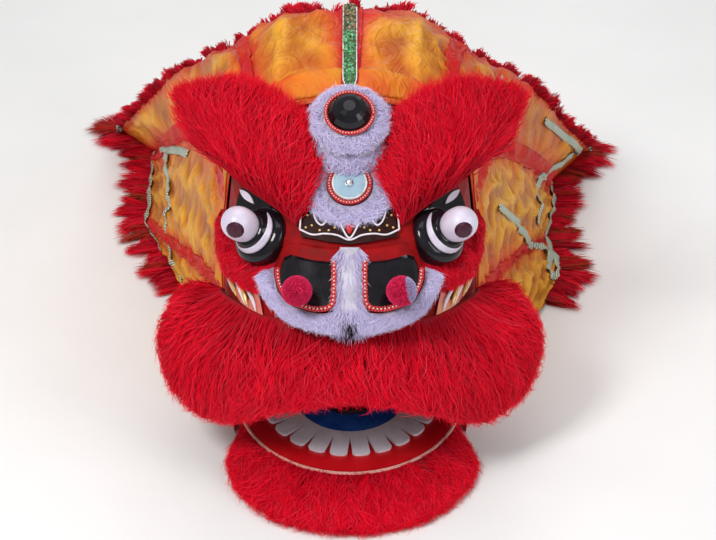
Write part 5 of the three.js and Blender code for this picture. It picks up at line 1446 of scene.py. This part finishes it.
def make_edge_fringe():
    """Ragged wool sewn over the cape's high edge."""
    rng = np.random.default_rng(93)
    tufts = EDGE_TUFTS
    spot = rng.integers(0, len(HIGH_EDGE), tufts)
    tuft = np.repeat(np.arange(tufts), EDGE_TUFT_SIZE)
    total = len(tuft)
    across = HIGH_EDGE[spot, 0][tuft] + rng.normal(0, 0.0035, total)
    way = HIGH_EDGE[spot, 1][tuft] + rng.normal(0.004, 0.006, total)
    base = cape_surface(across, np.clip(way, 0.01, 0.99), np.full(total, -1.0))
    side = np.clip(base[:, 0] / 420, -1, 1)
    ahead = np.stack([side * 0.6, np.full(total, 0.75), 0.34 - 0.2 * np.abs(side)], 1)
    sway = rng.normal(0, 0.35, (tufts, 3))[tuft] * (1, 0.5, 0.25) + rng.normal(0, 0.08, (total, 3))
    ahead = unit(ahead + sway)
    reach = (rng.uniform(14, 40, tufts)[tuft] * rng.uniform(0.7, 1.0, total))[:, None]
    stations = np.empty((total, 4, 3))
    for i, t in enumerate((0, 0.34, 0.7, 1)):
        stations[:, i] = base + ahead * reach * t + rng.normal(0, 1.2, (total, 3)) * t
        stations[:, i, 2] += 3.2 * math.sin(math.pi * t) - 0.2 * reach[:, 0] * t * t
    tone = rng.uniform(0.55, 1.05, tufts)[tuft] * rng.uniform(0.8, 1.15, total)
    up = np.tile((0.0, -0.4, 0.9), (total, 1))
    width = rng.uniform(1.4, 2.4, total)
    look = (red_colours(tone, rng), up, rng, "red_fur", hair_finish, "cape_fringe")
    return hair("edge_fringe", stations[:, SHORT], width, *look)


fringe = [*make_hem_fringe(), make_edge_fringe()]


def declare_cape():
    """Reads the places of the cape's upper sheet; nothing more is done with them."""
    mesh = cape_piece.data
    places = np.empty(len(mesh.vertices) * 3)
    mesh.vertices.foreach_get("co", places)


declare_cape()


CREST_ROWS = 40
CREST_END = 0.28
CREST_PROFILE = [(-1, 0), (-0.9, 5), (-0.5, 7.4), (0, 8), (0.5, 7.4), (0.9, 5), (1, 0)]
SEQUINS = 620
SEQUIN_RADIUS = 2.1
SEQUIN_GREEN = np.array((0.12, 0.52, 0.2))
SEQUIN_BROWN = np.array((0.3, 0.16, 0.06))


def make_crest():
    """Green sequins in silver edging down the crown."""
    rng = np.random.default_rng(95)
    ways = np.linspace(0, CREST_END, CREST_ROWS)
    spine = cape_points(np.full(CREST_ROWS, 1e-4), ways)
    base = spine[:, 2] + 9
    half = 10 * np.clip(np.minimum(ways / 0.03, (0.285 - ways) / 0.03), 0.45, 1)
    rings = [np.stack([out * half, spine[:, 1], base + rise], 1) for out, rise in CREST_PROFILE]
    points = np.stack(rings, 1).reshape(-1, 3)
    faces = capped_faces(CREST_ROWS, len(CREST_PROFILE))
    green = plain("crest_cloth", (0.05, 0.12, 0.05), (0.12, 0.16, 0.07), 0.5, scale=200, metal=0.3)
    mesh_object("crest_core", points, faces, "green_sequins", green, "crest")
    outs, rises = zip(*CREST_PROFILE[3:])
    parts = []
    tints = []
    for _ in range(SEQUINS):
        way = rng.uniform(0.004, 0.276)
        out = rng.uniform(-0.95, 0.95)
        x = out * float(np.interp(way, ways, half))
        y = float(np.interp(way, ways, spine[:, 1]))
        z = float(np.interp(way, ways, base)) + float(np.interp(abs(out), outs, rises))
        axis = unit(np.array((0.9 * out, 0, 1)) + rng.normal(0, 0.35, 3))
        part = ball_mesh(np.array((x, y, z + 0.4)), SEQUIN_RADIUS, 6, 2, squash=0.2, axis=axis)
        parts.append(part)
        shade = rng.uniform(0.5, 1.3)
        brown = way > 0.125 and rng.random() < 0.9
        colour = SEQUIN_BROWN if brown else SEQUIN_GREEN
        tints.append(np.tile(colour * shade, (len(part[0]), 1)))
    shiny = tinted("sequins", 0.22, low=0.8, shine=0.9, coat=0.6)
    how = dict(tint=np.clip(np.vstack(tints), 0, 1), smooth=False)
    mesh_object("crest_sequins", *joined(parts), "green_sequins", shiny, "crest", **how)
    for side, _ in SIDES:
        path = np.stack([side * (half + 0.6), spine[:, 1], base + 1.6], 1)
        mesh_object(f"crest_edge_{side + 1}", *tube_mesh(path, 1.7), "silver_trim", silver)


make_crest()

# Finishes of the nodes that stay

FINISHES = {
    "head_shell": red_lacquer,
    "nose": red_lacquer,
    "horn_core": red_lacquer,
    "horn_tip": black_gloss,
    "forehead_plate": forehead,
    "mirror_rim": silver,
    "mirror_disc": mirror_glass,
    "mirror_boss": silver,
    "jaw_plate": jaw_board,
    "jaw_piping": piping_finish,
    "jaw_teeth": teeth_finish,
    "jaw_gum": gum_blue,
    "tongue": tongue_black,
}
for _, side_name in SIDES:
    FINISHES[f"eye_base_{side_name}"] = black_gloss
    FINISHES[f"eye_pupil_{side_name}"] = pupil_paint
    FINISHES[f"eye_lid_{side_name}"] = white_paint
    FINISHES[f"nostril_{side_name}"] = black_gloss
    FINISHES[f"pompom_post_{side_name}"] = silver
    FINISHES[f"cheek_flame_{side_name}"] = flame_paint
for node_name, finish in FINISHES.items():
    smooth_node(node_name, finish)


# Painted lines


def on_head(points, lift):
    """Places (x, z) on the head's front, lifted off it along its normal."""
    points = np.asarray(points, float)
    x, z = points[:, 0], points[:, 1]
    y = head_front(x, z)
    slope_x = (head_front(x + 2, z) - head_front(x - 2, z)) / 4
    slope_z = (head_front(x, z + 2) - head_front(x, z - 2)) / 4
    normal = unit(np.stack([slope_x, np.full_like(x, -1), slope_z], 1))
    return np.stack([x, y, z], 1) + normal * lift


PLATE_HALF_WIDTH = 74
PLATE_LOW = 438
PLATE_TALL = 36
PLATE_LIFT = 7.4
DROP_POINTS = 36
FOREHEAD_DOTS = [(0.3, 0.3), (0.42, 0.22), (0.6, 0.2), (0.76, 0.3), (0.85, 0.55), (0.27, 0.5), (0.88, 0.22)]
FRONT = (0, -1, 0)


def on_plate(line, lift, count, closed=False):
    flat = [(PLATE_HALF_WIDTH * x, PLATE_LOW + PLATE_TALL * up, 0) for x, up in line]
    smooth = spline(flat, np.linspace(0, 1, count) * NEAR_ONE, closed)
    return on_head(smooth[:, :2], lift)


def forehead_paint():
    """Curved white outlines, a red drop and gold dots on the forehead plate."""
    foot = [(-1, 0.14), (-0.75, 0.06), (-0.5, 0.12), (-0.25, 0.1), (0, -0.02)]
    foot += [(-x, up) for x, up in foot[:-1][::-1]]
    petal = [(-0.13, 0.72), (-0.19, 0.5), (-0.14, 0.28), (0, 0.03)]
    petal += [(-x, up) for x, up in petal[:-1][::-1]]
    wave = [(0.72, 0.93), (0.73, 0.66), (0.66, 0.42), (0.56, 0.34), (0.47, 0.46), (0.4, 0.66), (0.22, 0.8)]
    end = [(0.72, 0.93), (0.84, 0.8), (0.93, 0.84), (0.97, 0.6), (1, 0.14)]
    parts = [
        tube_mesh(on_plate(foot, PLATE_LIFT, 80), 1.5, up=FRONT),
        tube_mesh(on_plate(petal, PLATE_LIFT, 60), 1.5, up=FRONT),
    ]
    for side, _ in SIDES:
        for line in (wave, end):
            turned = [(side * x, up) for x, up in line]
            parts.append(tube_mesh(on_plate(turned, PLATE_LIFT, 50), 1.4, up=FRONT))
    mesh_object("forehead_outline", *joined(parts), "white_paint", white_cord, "forehead_scroll")
    drop = [(0, 0.14), (0.08, 0.32), (0.1, 0.46), (0, 0.62), (-0.1, 0.46), (-0.08, 0.32)]
    outline = on_plate(drop, 7.0, DROP_POINTS, closed=True)
    points = np.vstack([outline, outline.mean(0) + (0, -1.2, 0.8)])
    faces = [(j, (j + 1) % DROP_POINTS, DROP_POINTS) for j in range(DROP_POINTS)]
    mesh_object("forehead_drop", points, faces, "red_lacquer", jaw_board)
    dots = []
    for x, up in FOREHEAD_DOTS:
        for side, _ in SIDES:
            place = on_head([(side * x * PLATE_HALF_WIDTH, PLATE_LOW + up * PLATE_TALL)], 6.9)[0]
            dots.append(ball_mesh(place, 2.0, 9, 6))
    mesh_object("forehead_dots", *joined(dots), "gold_satin", gold_paint)


STROKE_STEPS = 24


def cheek_paint():
    """White and gold strokes on each cheek, thickest at the middle."""
    swell = np.sin(math.pi * np.linspace(0.06, 0.94, STROKE_STEPS))
    for side, name in SIDES:

        def strokes(lines, radius):
            parts = []
            for line in lines:
                flat = [(side * (134 + 66 * out), 306 + 34 * up, 0) for out, up in line]
                path = on_head(spline(flat, np.linspace(0, 1, STROKE_STEPS))[:, :2], 6.6)
                parts.append(tube_mesh(path, radius * swell, flat=0.5, up=FRONT))
            return joined(parts)

        tusks = [
            [(0.1, 0.15), (0.16, 0.5), (0.3, 0.8), (0.44, 1.02)],
            [(0.36, 0.08), (0.46, 0.42), (0.6, 0.72), (0.8, 0.98)],
            [(0.66, 0.06), (0.8, 0.3), (0.9, 0.56), (0.98, 0.9)],
        ]
        mesh_object(f"cheek_lines_{name}", *strokes(tusks, 3.2), "white_paint", white_cord)
        petals = [[(0.3, 0.1), (0.38, 0.45), (0.52, 0.75)], [(0.58, 0.06), (0.7, 0.35), (0.82, 0.7)]]
        mesh_object(f"cheek_gold_{name}", *strokes(petals, 3.6), "gold_satin", gold_paint)


forehead_paint()
cheek_paint()


TONGUE_CENTRE_Y = -37
TONGUE_LIFT = 11.2


def tongue_lines():
    """White outline near the tongue's rim and a line down its middle."""
    middle = TONGUE_CENTRE_Y
    turns = np.linspace(0, 2 * math.pi, 49)
    rim = np.stack([36 * np.cos(turns), middle + 28 * np.sin(turns), np.full(49, TONGUE_LIFT)], 1)
    line = np.stack([np.zeros(12), np.linspace(middle - 20, middle + 22, 12), np.full(12, TONGUE_LIFT)], 1)
    parts = []
    for path in (rim, line):
        y = path[:, 1] * math.cos(JAW_DROOP) - path[:, 2] * math.sin(JAW_DROOP)
        z = path[:, 1] * math.sin(JAW_DROOP) + path[:, 2] * math.cos(JAW_DROOP)
        moved = np.stack([path[:, 0], y + HINGE_Y, z + HINGE_HEIGHT], 1)
        parts.append(tube_mesh(moved, 1.2, 6))
    mesh_object("tongue_lines", *joined(parts), "white_paint", white_cord, body="jaw")


tongue_lines()

# Floor and light


FLOOR_HALF = 9000
LIGHT_AIM = (0, -0.1, 0.3)


def add_floor():
    points = [(-1, -1, 0), (1, -1, 0), (1, 1, 0), (-1, 1, 0)]
    mesh = bpy.data.meshes.new("floor")
    mesh.from_pydata((np.array(points) * FLOOR_HALF * MM).tolist(), [], [(0, 1, 2, 3)])
    white = plain("floor", (0.86, 0.86, 0.86), (0.89, 0.89, 0.89), 0.9, scale=3, strength=0.02)
    mesh.materials.append(white)
    floor = bpy.data.objects.new("floor", mesh)
    bpy.context.collection.objects.link(floor)


def add_light(name, place, aim, size, power, colour=(1, 1, 1)):
    data = bpy.data.lights.new(name, "AREA")
    data.shape = "SQUARE"
    data.size = size
    data.energy = power
    data.color = colour
    light = bpy.data.objects.new(name, data)
    light.location = place
    light.rotation_euler = (Vector(aim) - Vector(place)).to_track_quat("-Z", "Y").to_euler()
    bpy.context.collection.objects.link(light)


add_floor()
add_light("key", (-1.5, -2.2, 3.0), LIGHT_AIM, 0.9, 74, (1, 0.99, 0.97))
add_light("fill", (2.4, -2.0, 1.8), LIGHT_AIM, 1.4, 24, (0.96, 0.98, 1))
add_light("back", (0.6, 2.8, 2.6), (0, 0.2, 0.3), 1.6, 26)
add_light("top", (0, -0.2, 3.4), (0, -0.2, 0), 2.0, 22)
backdrop = bpy.data.worlds.new("studio")
backdrop.use_nodes = True
backdrop.node_tree.nodes["Background"].inputs["Color"].default_value = (1, 1, 1, 1)
backdrop.node_tree.nodes["Background"].inputs["Strength"].default_value = 0.4
bpy.context.scene.world = backdrop
bpy.context.scene.view_settings.view_transform = "Standard"
